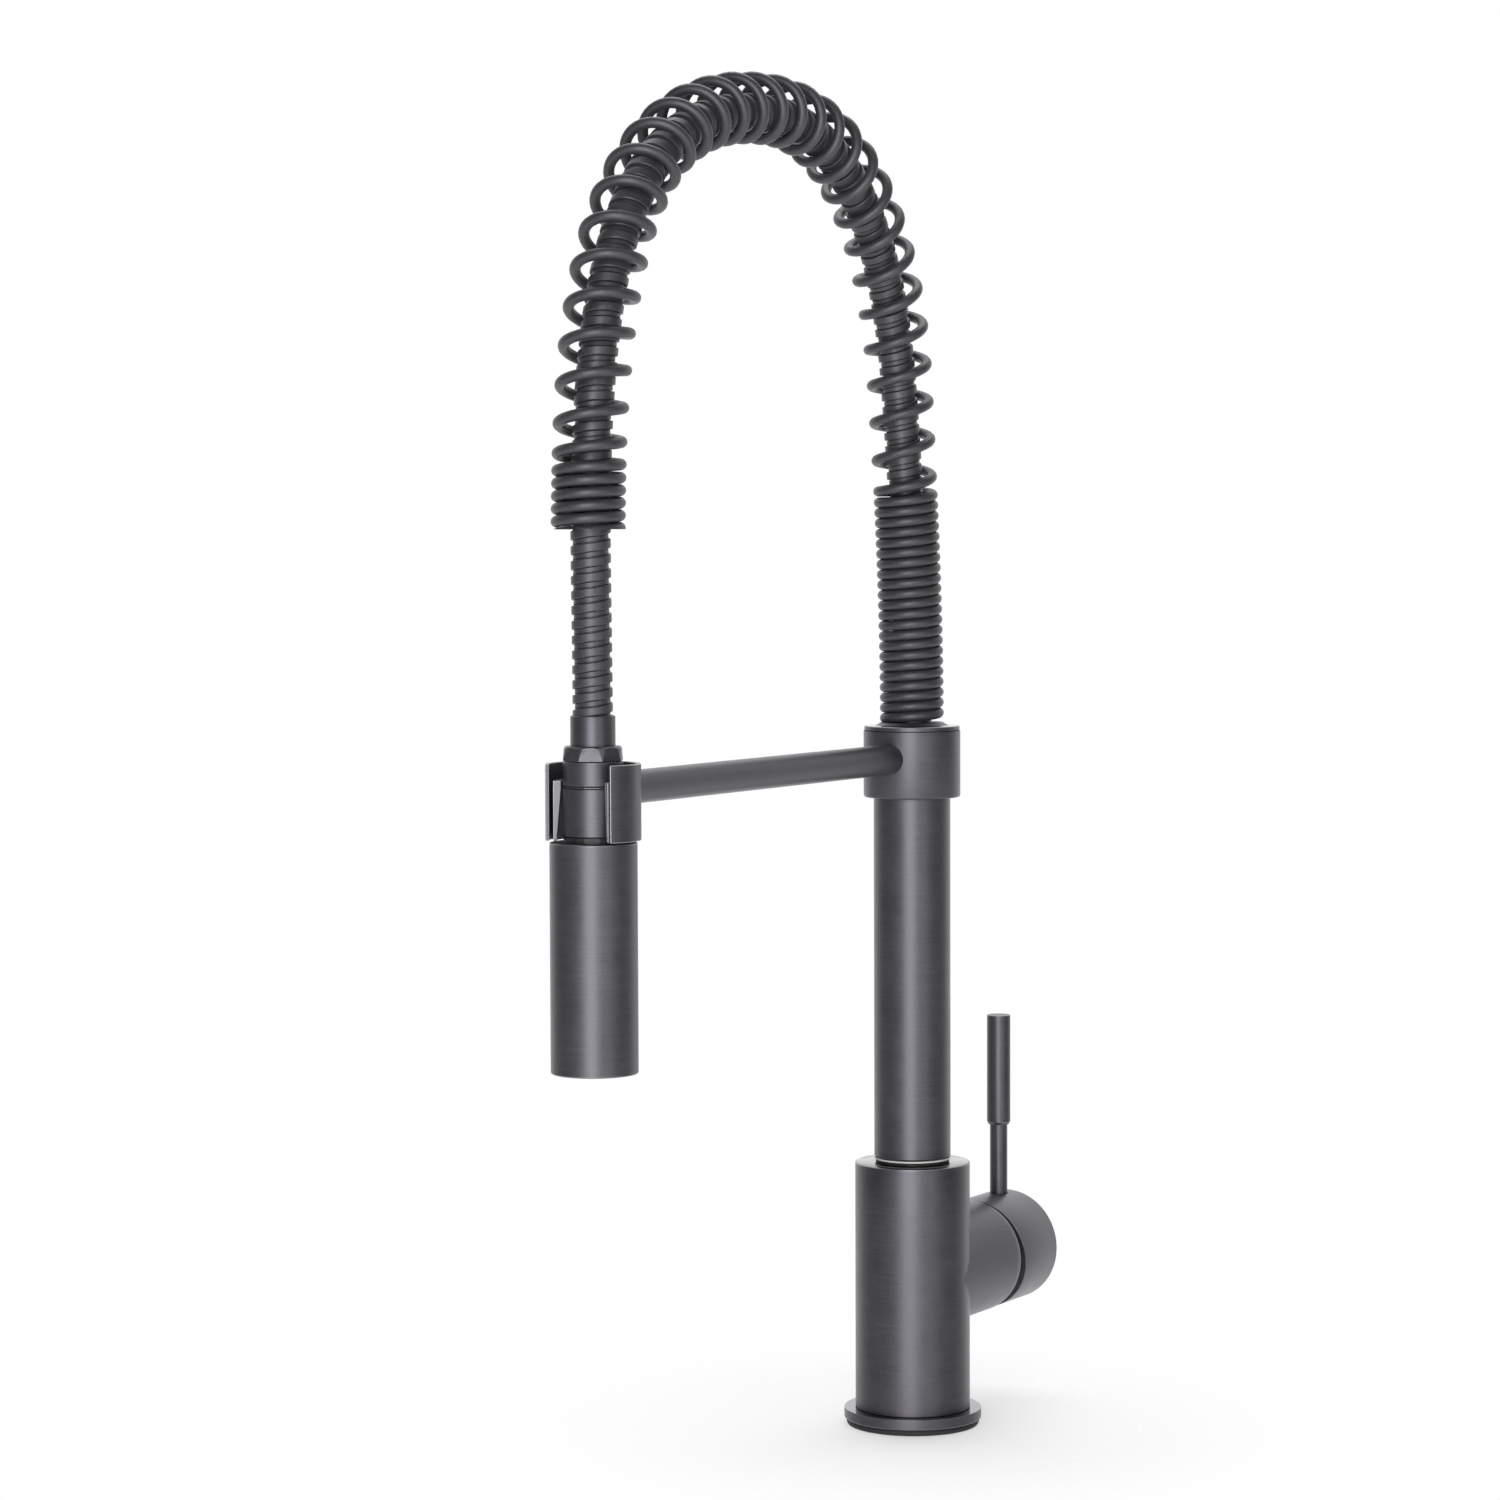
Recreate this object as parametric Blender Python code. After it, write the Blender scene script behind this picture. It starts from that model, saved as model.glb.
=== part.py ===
"""Deck-mounted pre-rinse kitchen faucet with a coil spring around its arched spray hose.

Metres, +Z up. The origin is the centre of the base on the deck. The spout reaches toward -Y
and the single lever stands on the +Y side.
"""

import math

import bmesh
import bpy
from mathutils import Matrix, Vector

for old in list(bpy.data.objects):
    bpy.data.objects.remove(old, do_unlink=True)

MM = 0.001
GAP = 0.3 * MM
WELD = 0.005 * MM
FINE = 36
ROUND = 24
INNER = 20
SMALL = 14

# Base and body
BODY_R = 24.05 * MM
BODY_TOP = 110.7 * MM
FLANGE_R = BODY_R + 4.75 * MM
FLANGE_TOP = 6.9 * MM
GASKET_R = FLANGE_R - 0.9 * MM
GASKET_H = 2.3 * MM
SPIGOT_R = BODY_R - 4.45 * MM
INLET_R = 16.0 * MM
INLET_TOP = 26.0 * MM

# Valve branch and cartridge, lengths along +Y from the column axis
VALVE_Z = 62.5 * MM
BRANCH_END = BODY_R + 29.15 * MM
CARTRIDGE_R = 17.5 * MM
CARTRIDGE_BACK = BRANCH_END - 39.9 * MM
CARTRIDGE_FRONT = BRANCH_END - 8.7 * MM
NUT_R = CARTRIDGE_R + 1.8 * MM
NUT_NOSE_R = CARTRIDGE_R - 1.0 * MM
NUT_FRONT = BRANCH_END + 3.8 * MM
TURRET_R = 12.0 * MM
TURRET_BACK = CARTRIDGE_BACK + 17.0 * MM
TURRET_FRONT = CARTRIDGE_FRONT + 5.5 * MM
TILT_Y = CARTRIDGE_FRONT + 0.5 * MM
STEM_SQUARE = 8.0 * MM

# Handle
CAP_R = BODY_R - 0.2 * MM
CAP_BORE = CAP_R - 3.35 * MM
CAP_START = BRANCH_END + 1.1 * MM
CAP_END = CAP_START + 33.7 * MM
CAP_FLOOR = CAP_END - 4.0 * MM
CAP_WEDGE = math.radians(9.0)
LEVER_Y = CAP_END - 9.5 * MM
LEVER_R = 3.8 * MM
GRIP_R = 5.1 * MM
GRIP_BOTTOM = VALVE_Z + CAP_R + 29.95 * MM
GRIP_TOP = GRIP_BOTTOM + 47.9 * MM

# Column
SWIVEL_BORE_R = 12.3 * MM
WASHER_TOP = BODY_TOP + 2.0 * MM
STEM_R = 16.0 * MM
STEM_WALL = 1.8 * MM
STEM_BOTTOM = WASHER_TOP + GAP
COLLAR_R = STEM_R + 4.2 * MM
COLLAR_BOTTOM = STEM_BOTTOM + 151.0 * MM
COLLAR_TOP = COLLAR_BOTTOM + 27.8 * MM
SEAT_TOP = COLLAR_TOP + 2.1 * MM
SEAT_RISE = 1.4 * MM
ARM_Z = COLLAR_BOTTOM + 16.5 * MM
ARM_R = 6.3 * MM
REACH = 243.8 * MM

# Docking clip
NECK_R = 11.1 * MM
LINER_BORE = NECK_R + 0.7 * MM
LINER_R = LINER_BORE + 3.0 * MM
CLIP_WALL = 1.5 * MM
CLIP_R = LINER_R + CLIP_WALL + 1.35 * MM
CLIP_BOTTOM = ARM_Z - 18.1 * MM
CLIP_TOP = ARM_Z + 10.2 * MM
CLIP_HALF_MOUTH = math.radians(53.5)
LINER_TOP = ARM_Z + 3.9 * MM

# Spray head
NECK_BOTTOM = ARM_Z - 16.3 * MM
NECK_TOP = ARM_Z + 1.1 * MM
COUPLING_TOP = ARM_Z + 11.0 * MM
HOSE_NUT_R = NECK_R + 0.35 * MM
HOSE_NUT_TOP = COUPLING_TOP + 5.6 * MM
HOSE_R = 7.2 * MM
FERRULE_R = HOSE_R + 1.1 * MM
FERRULE_TOP = HOSE_NUT_TOP + 11.3 * MM
BARREL_R = 16.2 * MM
BARREL_WALL = 2.0 * MM
BARREL_BORE = BARREL_R - BARREL_WALL
BARREL_TOP = CLIP_BOTTOM - 0.6 * MM
BARREL_BOTTOM = BARREL_TOP - 85.3 * MM
BARREL_SHELF = BARREL_TOP - 3.2 * MM

# Hose and support spring
HOSE_FOOT_Z = STEM_BOTTOM + 15.0 * MM
HOSE_END_Z = HOSE_NUT_TOP + 1.1 * MM
HOSE_BORE = HOSE_R + 1.5 * GAP
NOZZLE_R = HOSE_R + 1.0 * MM
WIRE_R = 2.1 * MM
COIL_R = NOZZLE_R + WIRE_R + 0.95 * MM
COIL_R_OPEN = COIL_R + 0.65 * MM
COIL_R_FREE = COIL_R + 0.4 * MM
COLUMN_TURNS = 21.95
COLUMN_PITCH = 2 * WIRE_R + 0.1 * MM
OPEN_TURNS = 30.4
PITCH_TAPER = 0.12
OPENING_TURNS = 1.2
CLOSING_TURNS = 2.8
FREE_TURNS = 4.4
FREE_PITCH = 2 * WIRE_R + 0.4 * MM
SPRING_FREE_Z = ARM_Z + 95.8 * MM
SPRING_SAG = 1.6 * MM
STEPS_PER_TURN = 9

# Arch of the hose in the plane of the spout: reach from the column, height
SHOULDER = (9.7 * MM, SEAT_TOP + 138.5 * MM)
SHOULDER_LEAN = 0.106
APEX = (0.47 * REACH, SEAT_TOP + 245.3 * MM)
HEAD_SIDE = (REACH + 0.4 * MM, ARM_Z + 119.5 * MM)
HEAD_SIDE_LEAN = -0.034

COATING = (0.036, 0.035, 0.038, 1.0)
BRASS = (0.55, 0.40, 0.18, 1.0)
RUBBER = (0.012, 0.012, 0.013, 1.0)
PLASTIC = (0.02, 0.02, 0.022, 1.0)
STEEL = (0.42, 0.42, 0.43, 1.0)
NATURAL = (0.72, 0.71, 0.68, 1.0)
CERAMIC = (0.62, 0.63, 0.60, 1.0)


def paint(obj, finish, colour, metallic, roughness):
    material = bpy.data.materials.new(obj.name + "_" + finish)
    material.use_nodes = True
    shader = material.node_tree.nodes["Principled BSDF"]
    shader.inputs["Base Color"].default_value = colour
    shader.inputs["Metallic"].default_value = metallic
    shader.inputs["Roughness"].default_value = roughness
    material.diffuse_color = colour
    obj.data.materials.clear()
    obj.data.materials.append(material)


def coated(obj):
    paint(obj, "coating", COATING, 0.6, 0.45)


def brass(obj):
    paint(obj, "brass", BRASS, 1.0, 0.35)


def rubber(obj):
    paint(obj, "rubber", RUBBER, 0.0, 0.8)


def plastic(obj):
    paint(obj, "plastic", PLASTIC, 0.0, 0.5)


def steel(obj):
    paint(obj, "steel", STEEL, 1.0, 0.3)


def natural(obj):
    paint(obj, "plastic", NATURAL, 0.0, 0.5)


def make(name, bm, origin=(0, 0, 0), smooth_angle=32.0):
    """One solid from a bmesh, with its origin moved to the given point."""
    bmesh.ops.remove_doubles(bm, verts=bm.verts[:], dist=1e-6)
    bmesh.ops.recalc_face_normals(bm, faces=bm.faces[:])
    mesh = bpy.data.meshes.new(name)
    bm.to_mesh(mesh)
    bm.free()
    mesh.transform(Matrix.Translation(-Vector(origin)))
    obj = bpy.data.objects.new(name, mesh)
    obj.location = origin
    bpy.context.scene.collection.objects.link(obj)
    mesh.shade_smooth()
    mesh.set_sharp_from_angle(angle=math.radians(smooth_angle))
    return obj


def along_y(bm):
    """Turn a piece built around Z so that its axis runs along +Y at the valve's height."""
    bmesh.ops.rotate(bm, verts=bm.verts[:], matrix=Matrix.Rotation(-math.pi / 2, 3, "X"))
    bmesh.ops.translate(bm, verts=bm.verts[:], vec=(0, 0, VALVE_Z))
    return bm


def lathe(profile, segments=ROUND, sweep=2 * math.pi, start=0.0, centre=(0, 0)):
    """Spin a closed outline of (radius, height) points about the vertical line at centre."""
    bm = bmesh.new()
    turn = Matrix.Rotation(start, 3, "Z")
    verts = [bm.verts.new(turn @ Vector((r, 0, z))) for r, z in profile]
    face = bm.faces.new(verts)
    closed = sweep > 2 * math.pi - 1e-6
    edges = list(face.edges)
    if closed:
        bmesh.ops.delete(bm, geom=[face], context="FACES_ONLY")
        geom = edges
    else:
        geom = [face]
    bmesh.ops.spin(
        bm,
        geom=geom,
        cent=(0, 0, 0),
        axis=(0, 0, 1),
        dvec=(0, 0, 0),
        angle=sweep,
        steps=segments,
        use_merge=closed,
        use_duplicate=False,
    )
    bmesh.ops.remove_doubles(bm, verts=bm.verts[:], dist=1e-6)
    loose = [edge for edge in bm.edges if not edge.link_faces]
    bmesh.ops.delete(bm, geom=loose, context="EDGES")
    bmesh.ops.translate(bm, verts=bm.verts[:], vec=(centre[0], centre[1], 0))
    return bm


def rod(radius, low, high, chamfer=0.0):
    """Outline of a solid round bar between two heights."""
    if chamfer == 0.0:
        return [(0, low), (radius, low), (radius, high), (0, high)]
    inner = radius - chamfer
    return [
        (0, low),
        (inner, low),
        (radius, low + chamfer),
        (radius, high - chamfer),
        (inner, high),
        (0, high),
    ]


def ring(outer, bore, low, high, top=0.0, bottom=0.0):
    """Outline of a tube between two heights, with optional chamfers on its outer corners."""
    points = [(bore, low)]
    if bottom > 0:
        points += [(outer - bottom, low), (outer, low + bottom)]
    else:
        points += [(outer, low)]
    if top > 0:
        points += [(outer, high - top), (outer - top, high)]
    else:
        points += [(outer, high)]
    points += [(bore, high)]
    return points


def cutter(name, bm):
    """A tool solid that is only used by Boolean modifiers."""
    obj = make(name, bm)
    obj.hide_render = True
    obj.display_type = "WIRE"
    return obj


def box(low, high):
    bm = bmesh.new()
    bmesh.ops.create_cube(bm, size=1.0)
    size = [b - a for a, b in zip(low, high)]
    middle = [(a + b) / 2 for a, b in zip(low, high)]
    bmesh.ops.scale(bm, verts=bm.verts[:], vec=size)
    bmesh.ops.translate(bm, verts=bm.verts[:], vec=middle)
    return bm


def bar(start, end, radius, segments=SMALL, bm=None):
    """Solid round bar between two points, added to bm when one is given."""
    bm = bm or bmesh.new()
    line = Vector(end) - Vector(start)
    made = bmesh.ops.create_cone(
        bm,
        cap_ends=True,
        segments=segments,
        radius1=radius,
        radius2=radius,
        depth=line.length,
    )
    turn = line.to_track_quat("Z", "Y").to_matrix()
    bmesh.ops.rotate(bm, verts=made["verts"], matrix=turn)
    bmesh.ops.translate(bm, verts=made["verts"], vec=(Vector(start) + Vector(end)) / 2)
    return bm


def carve(obj, bm, operation="DIFFERENCE"):
    """Cut a tool solid from a piece, or join it on, and keep the result."""
    tool = cutter(obj.name + "_tool", bm)
    modifier = obj.modifiers.new("carve", "BOOLEAN")
    modifier.operation = operation
    modifier.solver = "EXACT"
    modifier.object = tool
    bpy.context.view_layer.update()
    graph = bpy.context.evaluated_depsgraph_get()
    result = bpy.data.meshes.new_from_object(obj.evaluated_get(graph))
    bm = bmesh.new()
    bm.from_mesh(result)
    bmesh.ops.triangulate(bm, faces=bm.faces[:])
    bmesh.ops.remove_doubles(bm, verts=bm.verts[:], dist=WELD)
    bmesh.ops.dissolve_degenerate(bm, edges=bm.edges[:], dist=WELD)
    bmesh.ops.recalc_face_normals(bm, faces=bm.faces[:])
    bm.to_mesh(result)
    bm.free()
    obj.modifiers.clear()
    old = obj.data
    obj.data = result
    bpy.data.meshes.remove(old)
    bpy.data.objects.remove(tool, do_unlink=True)
    obj.data.set_sharp_from_angle(angle=math.radians(32.0))


# ---------------------------------------------------------------- base
gasket = make("base_gasket", lathe(ring(GASKET_R, INLET_R + 1.6 * MM, 0, GASKET_H), FINE))
rubber(gasket)

flange = make(
    "base_flange",
    lathe(ring(FLANGE_R, SPIGOT_R + GAP, GASKET_H + GAP, FLANGE_TOP, top=0.5 * MM), FINE),
)
coated(flange)

inlet = make("inlet_block", lathe(rod(INLET_R, 0, INLET_TOP, 0.5 * MM)))
holes = bar((0, -9.5 * MM, -MM), (0, -9.5 * MM, 14 * MM), 3.4 * MM)
for side in (-1, 1):
    bar((side * 8.2 * MM, 3.5 * MM, -MM), (side * 8.2 * MM, 3.5 * MM, 27 * MM), 4.5 * MM, SMALL, holes)
carve(inlet, holes)
brass(inlet)

# ---------------------------------------------------------------- body with the valve branch
body = make(
    "faucet_body",
    lathe(
        [
            (0, GASKET_H + GAP),
            (SPIGOT_R, GASKET_H + GAP),
            (SPIGOT_R, FLANGE_TOP + GAP),
            (BODY_R, FLANGE_TOP + GAP),
            (BODY_R, BODY_TOP - 0.6 * MM),
            (BODY_R - 0.6 * MM, BODY_TOP),
            (0, BODY_TOP),
        ],
        FINE,
    ),
)
carve(body, along_y(lathe(rod(BODY_R, 0, BRANCH_END, 0.4 * MM), FINE)), "UNION")
SNAP_R = SWIVEL_BORE_R + 1.3 * MM
BORE_FLOOR = BODY_TOP - 26.7 * MM
SNAP_LOW = BODY_TOP - 18.6 * MM
SNAP_HIGH = SNAP_LOW + 1.8 * MM
column_bore = [
    (0, VALVE_Z - 6.5 * MM),
    (6 * MM, VALVE_Z - 6.5 * MM),
    (6 * MM, BORE_FLOOR),
    (SWIVEL_BORE_R, BORE_FLOOR),
    (SWIVEL_BORE_R, SNAP_LOW),
    (SNAP_R, SNAP_LOW),
    (SNAP_R, SNAP_HIGH),
    (SWIVEL_BORE_R, SNAP_HIGH),
    (SWIVEL_BORE_R, BODY_TOP + MM),
    (0, BODY_TOP + MM),
]
branch_bore = [
    (0, CARTRIDGE_BACK - GAP),
    (CARTRIDGE_R + GAP, CARTRIDGE_BACK - GAP),
    (CARTRIDGE_R + GAP, CARTRIDGE_FRONT + 0.5 * MM),
    (NUT_R + GAP, CARTRIDGE_FRONT + 0.5 * MM),
    (NUT_R + GAP, BRANCH_END + MM),
    (0, BRANCH_END + MM),
]
carve(body, lathe(rod(INLET_R + GAP, -MM, 34 * MM)))
carve(body, lathe(column_bore))
carve(body, along_y(lathe(branch_bore, 32)))
carve(body, bar((0, 0, VALVE_Z), (0, CARTRIDGE_BACK + MM, VALVE_Z), 4 * MM))
ports = bmesh.new()
for side in (-1, 1):
    port_y = CARTRIDGE_BACK - 0.7 * MM
    bar((side * 9 * MM, port_y, 32 * MM), (side * 9 * MM, port_y, VALVE_Z - 5.5 * MM), 3 * MM, SMALL, ports)
carve(body, ports)
coated(body)

# ---------------------------------------------------------------- cartridge
cartridge = make(
    "cartridge_body",
    along_y(
        lathe(
            [
                (0, CARTRIDGE_BACK),
                (CARTRIDGE_R, CARTRIDGE_BACK),
                (CARTRIDGE_R, CARTRIDGE_FRONT),
                (TURRET_R + GAP, CARTRIDGE_FRONT),
                (TURRET_R + GAP, TURRET_BACK - GAP),
                (0, TURRET_BACK - GAP),
            ]
        )
    ),
)
ports = bmesh.new()
for x, z in ((-7, -5), (7, -5), (0, 8)):
    start = (x * MM, CARTRIDGE_BACK - 1.3 * MM, VALVE_Z + z * MM)
    bar(start, (x * MM, TURRET_BACK + 3.7 * MM, VALVE_Z + z * MM), 2.6 * MM, 12, ports)
carve(cartridge, ports)
natural(cartridge)

nut = make(
    "cartridge_nut",
    along_y(
        lathe(
            [
                (TURRET_R + 1.0 * MM, CARTRIDGE_FRONT + GAP + 0.5 * MM),
                (NUT_R, CARTRIDGE_FRONT + GAP + 0.5 * MM),
                (NUT_R, BRANCH_END - 0.2 * MM),
                (NUT_NOSE_R, BRANCH_END - 0.2 * MM),
                (NUT_NOSE_R, NUT_FRONT),
                (TURRET_R + 1.0 * MM, NUT_FRONT),
            ]
        )
    ),
)
brass(nut)

shroud = make(
    "cartridge_shroud",
    along_y(
        lathe(ring(CAP_BORE - 0.6 * MM, NUT_NOSE_R + GAP, BRANCH_END + GAP, BRANCH_END + 1.8 * MM, top=0.4 * MM))
    ),
)
plastic(shroud)

PIVOT = (0, TILT_Y, VALVE_Z)
turret = make("cartridge_turret", along_y(lathe(rod(TURRET_R, TURRET_BACK, TURRET_FRONT, 0.4 * MM))), PIVOT)
slot_low = (-STEM_SQUARE / 2 - GAP, TILT_Y - 8.5 * MM, VALVE_Z - 7.2 * MM)
slot_high = (STEM_SQUARE / 2 + GAP, TURRET_FRONT + MM, VALVE_Z + 7.2 * MM)
carve(turret, box(slot_low, slot_high))
carve(turret, bar((-13 * MM, TILT_Y, VALVE_Z), (13 * MM, TILT_Y, VALVE_Z), 1.8 * MM))
natural(turret)

pin = make(
    "turret_pin",
    bar((-10.5 * MM, TILT_Y, VALVE_Z), (10.5 * MM, TILT_Y, VALVE_Z), 1.5 * MM),
    PIVOT,
)
steel(pin)

stem_low = (-STEM_SQUARE / 2, TILT_Y - 7.0 * MM, VALVE_Z - STEM_SQUARE / 2)
stem_high = (STEM_SQUARE / 2, CAP_FLOOR - 5.0 * MM, VALVE_Z + STEM_SQUARE / 2)
lever_stem = make("cartridge_stem", box(stem_low, stem_high), PIVOT)
carve(lever_stem, bar((-6 * MM, TILT_Y, VALVE_Z), (6 * MM, TILT_Y, VALVE_Z), 1.8 * MM))
brass(lever_stem)

# ---------------------------------------------------------------- handle
CAP_STEP = CAP_START + 11.7 * MM
SCREW_Y = CAP_STEP + 6.0 * MM
LEVER_FOOT = VALVE_Z + CAP_R - 5.25 * MM
cap_bm = lathe(
    [
        (CAP_BORE, CAP_START),
        (CAP_R, CAP_START),
        (CAP_R, CAP_END - 0.6 * MM),
        (CAP_R - 0.6 * MM, CAP_END),
        (0, CAP_END),
        (0, CAP_FLOOR),
        (CAP_BORE - 2.5 * MM, CAP_FLOOR),
        (CAP_BORE - 2.5 * MM, CAP_STEP),
        (CAP_BORE, CAP_STEP),
    ],
    FINE,
)
# the open rim is cut on a slant, so the cap can tip toward the branch
for vert in cap_bm.verts:
    if abs(vert.co.z - CAP_START) < 1e-7:
        vert.co.z += (CAP_R + vert.co.y) * math.tan(CAP_WEDGE)
cap = make("handle_cap", along_y(cap_bm), PIVOT)
carve(cap, bar((0, CAP_STEP + 0.5 * MM, VALVE_Z), (0, CAP_FLOOR + MM, VALVE_Z), 8 * MM), "UNION")
socket = STEM_SQUARE / 2 + GAP
carve(cap, box((-socket, CAP_START, VALVE_Z - socket), (socket, CAP_FLOOR - 4.0 * MM, VALVE_Z + socket)))
carve(cap, bar((0, LEVER_Y, LEVER_FOOT - 3.6 * MM), (0, LEVER_Y, VALVE_Z + CAP_R + 2 * MM), LEVER_R + GAP))
carve(cap, bar((0, SCREW_Y, VALVE_Z - CAP_R - 2 * MM), (0, SCREW_Y, VALVE_Z - 3 * MM), 2.2 * MM))
coated(cap)

grub = make(
    "handle_screw",
    bar((0, SCREW_Y, VALVE_Z - 8.6 * MM), (0, SCREW_Y, VALVE_Z - 4.3 * MM), 1.9 * MM),
    PIVOT,
)
carve(grub, bar((0, SCREW_Y, VALVE_Z - 9 * MM), (0, SCREW_Y, VALVE_Z - 6.6 * MM), 1.0 * MM, 6))
steel(grub)

lever = make(
    "lever_rod",
    lathe(
        [
            (0, LEVER_FOOT),
            (LEVER_R, LEVER_FOOT),
            (LEVER_R, GRIP_BOTTOM - GAP),
            (2.6 * MM, GRIP_BOTTOM - GAP),
            (2.6 * MM, GRIP_BOTTOM + 12 * MM),
            (0, GRIP_BOTTOM + 12 * MM),
        ],
        24,
        centre=(0, LEVER_Y),
    ),
    PIVOT,
)
coated(lever)

grip = make(
    "lever_grip",
    lathe(
        [
            (2.9 * MM, GRIP_BOTTOM),
            (GRIP_R - 0.4 * MM, GRIP_BOTTOM),
            (GRIP_R, GRIP_BOTTOM + 1.6 * MM),
            (GRIP_R, GRIP_TOP - 0.5 * MM),
            (GRIP_R - 0.5 * MM, GRIP_TOP),
            (0, GRIP_TOP),
            (0, GRIP_BOTTOM + 12.4 * MM),
            (2.9 * MM, GRIP_BOTTOM + 12.4 * MM),
        ],
        24,
        centre=(0, LEVER_Y),
    ),
    PIVOT,
)
coated(grip)

# ---------------------------------------------------------------- swivel and column
AXIS = (0, 0, BODY_TOP)
washer = make("swivel_washer", lathe(ring(STEM_R - 0.1 * MM, SWIVEL_BORE_R, BODY_TOP + GAP, WASHER_TOP)))
natural(washer)

SPIGOT = SWIVEL_BORE_R - GAP
SEAL_FLOOR = SPIGOT - 1.5 * MM
LOWER_SEAL = BORE_FLOOR + 3.9 * MM
UPPER_SEAL = BORE_FLOOR + 13.0 * MM
grooves = [
    (LOWER_SEAL, LOWER_SEAL + 2.4 * MM, SEAL_FLOOR),
    (SNAP_LOW - 0.1 * MM, SNAP_HIGH + 0.1 * MM, SEAL_FLOOR + GAP),
    (UPPER_SEAL, UPPER_SEAL + 2.4 * MM, SEAL_FLOOR),
]
TAIL_R = 7.1 * MM
outline = [(5 * MM, BORE_FLOOR + 2.5 * MM), (SPIGOT, BORE_FLOOR + 2.5 * MM)]
for low, high, floor in grooves:
    outline += [(SPIGOT, low), (floor, low), (floor, high), (SPIGOT, high)]
outline += [
    (SPIGOT, STEM_BOTTOM),
    (STEM_R - STEM_WALL - GAP, STEM_BOTTOM),
    (STEM_R - STEM_WALL - GAP, STEM_BOTTOM + 13 * MM),
    (TAIL_R + GAP, STEM_BOTTOM + 13 * MM),
    (TAIL_R + GAP, STEM_BOTTOM + 3 * MM),
    (5 * MM, STEM_BOTTOM + 3 * MM),
]
spigot = make("stem_spigot", lathe(outline, INNER), AXIS)
brass(spigot)

for label, low in (("lower", LOWER_SEAL), ("upper", UPPER_SEAL)):
    seal = make(
        "swivel_o_ring_" + label,
        lathe(ring(SPIGOT, SEAL_FLOOR + GAP, low + 0.3 * MM, low + 2.1 * MM, 0.4 * MM, 0.4 * MM), INNER),
        AXIS,
    )
    rubber(seal)

clip_arc = math.radians(320)
snap = make(
    "swivel_snap_ring",
    lathe(
        ring(SNAP_R - GAP, SEAL_FLOOR + 2 * GAP, SNAP_LOW + GAP, SNAP_HIGH - GAP),
        INNER,
        clip_arc,
        math.radians(110),
    ),
    AXIS,
)
steel(snap)

tail_outline = ring(TAIL_R, 3.5 * MM, STEM_BOTTOM + 3 * MM + GAP, HOSE_FOOT_Z - GAP)
tail = make("hose_tail", lathe(tail_outline, INNER), AXIS)
brass(tail)

stem = make(
    "stem_tube",
    lathe(ring(STEM_R, STEM_R - STEM_WALL, STEM_BOTTOM, COLLAR_TOP - GAP, bottom=0.4 * MM)),
    AXIS,
)
coated(stem)

collar = make(
    "arm_collar",
    lathe(ring(COLLAR_R, STEM_R + GAP, COLLAR_BOTTOM, COLLAR_TOP, 0.3 * MM, 0.9 * MM), FINE),
    AXIS,
)
TENON_R = 4.0 * MM
carve(collar, bar((0, -COLLAR_R - 4 * MM, ARM_Z), (0, -STEM_R + 6 * MM, ARM_Z), TENON_R + GAP))
COLLAR_SCREW_Z = COLLAR_BOTTOM + 9 * MM
COLLAR_SCREW_R = 2.4 * MM
screw_in = (0, STEM_R - 6 * MM, COLLAR_SCREW_Z)
screw_out = (0, COLLAR_R + 4 * MM, COLLAR_SCREW_Z)
carve(collar, bar(screw_in, screw_out, COLLAR_SCREW_R + GAP))
coated(collar)

screw_low = (0, STEM_R + 0.4 * MM, COLLAR_SCREW_Z)
screw_high = (0, COLLAR_R - 0.4 * MM, COLLAR_SCREW_Z)
collar_screw = make("collar_screw", bar(screw_low, screw_high, COLLAR_SCREW_R), AXIS)
carve(collar_screw, bar((0, STEM_R + 2 * MM, COLLAR_SCREW_Z), screw_out, 1.25 * MM, 6))
steel(collar_screw)

SEAT_FOOT = COLLAR_BOTTOM + 12 * MM
NOZZLE_TOP = SEAT_TOP + 12.1 * MM
seat = make(
    "spring_seat",
    lathe(
        [
            (HOSE_BORE, SEAT_FOOT),
            (STEM_R - STEM_WALL - GAP, SEAT_FOOT),
            (STEM_R - STEM_WALL - GAP, COLLAR_TOP + GAP),
            (COLLAR_R - 0.3 * MM, COLLAR_TOP + GAP),
            (COLLAR_R - 0.3 * MM, SEAT_TOP - 0.3 * MM),
            (COLLAR_R - 0.6 * MM, SEAT_TOP),
            (COIL_R + WIRE_R + 1.0 * MM, SEAT_TOP),
            (COIL_R + WIRE_R - 0.5 * MM, SEAT_TOP + SEAT_RISE),
            (NOZZLE_R, SEAT_TOP + SEAT_RISE),
            (NOZZLE_R, NOZZLE_TOP),
            (HOSE_BORE, NOZZLE_TOP),
        ]
    ),
    AXIS,
)
coated(seat)

# ---------------------------------------------------------------- arm and docking clip
CLIP_BACK = REACH - CLIP_R
ARM_SCREW_R = 2.1 * MM
arm_end = (0, -CLIP_BACK - 1.5 * MM, ARM_Z)
below = ARM_Z - 30 * MM
above = ARM_Z + 30 * MM
arm = make("docking_arm", bar((0, -COLLAR_R + 2 * MM, ARM_Z), arm_end, ARM_R, 24), AXIS)
carve(arm, lathe(rod(COLLAR_R + GAP, below, above), FINE))
carve(arm, lathe(rod(CLIP_R + GAP, below, above), FINE, centre=(0, -REACH)))
carve(arm, bar((0, -STEM_R - 0.8 * MM, ARM_Z), (0, -COLLAR_R - 10 * MM, ARM_Z), TENON_R), "UNION")
carve(arm, bar((0, -CLIP_BACK + 12.5 * MM, ARM_Z), arm_end, ARM_SCREW_R))
coated(arm)

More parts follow.
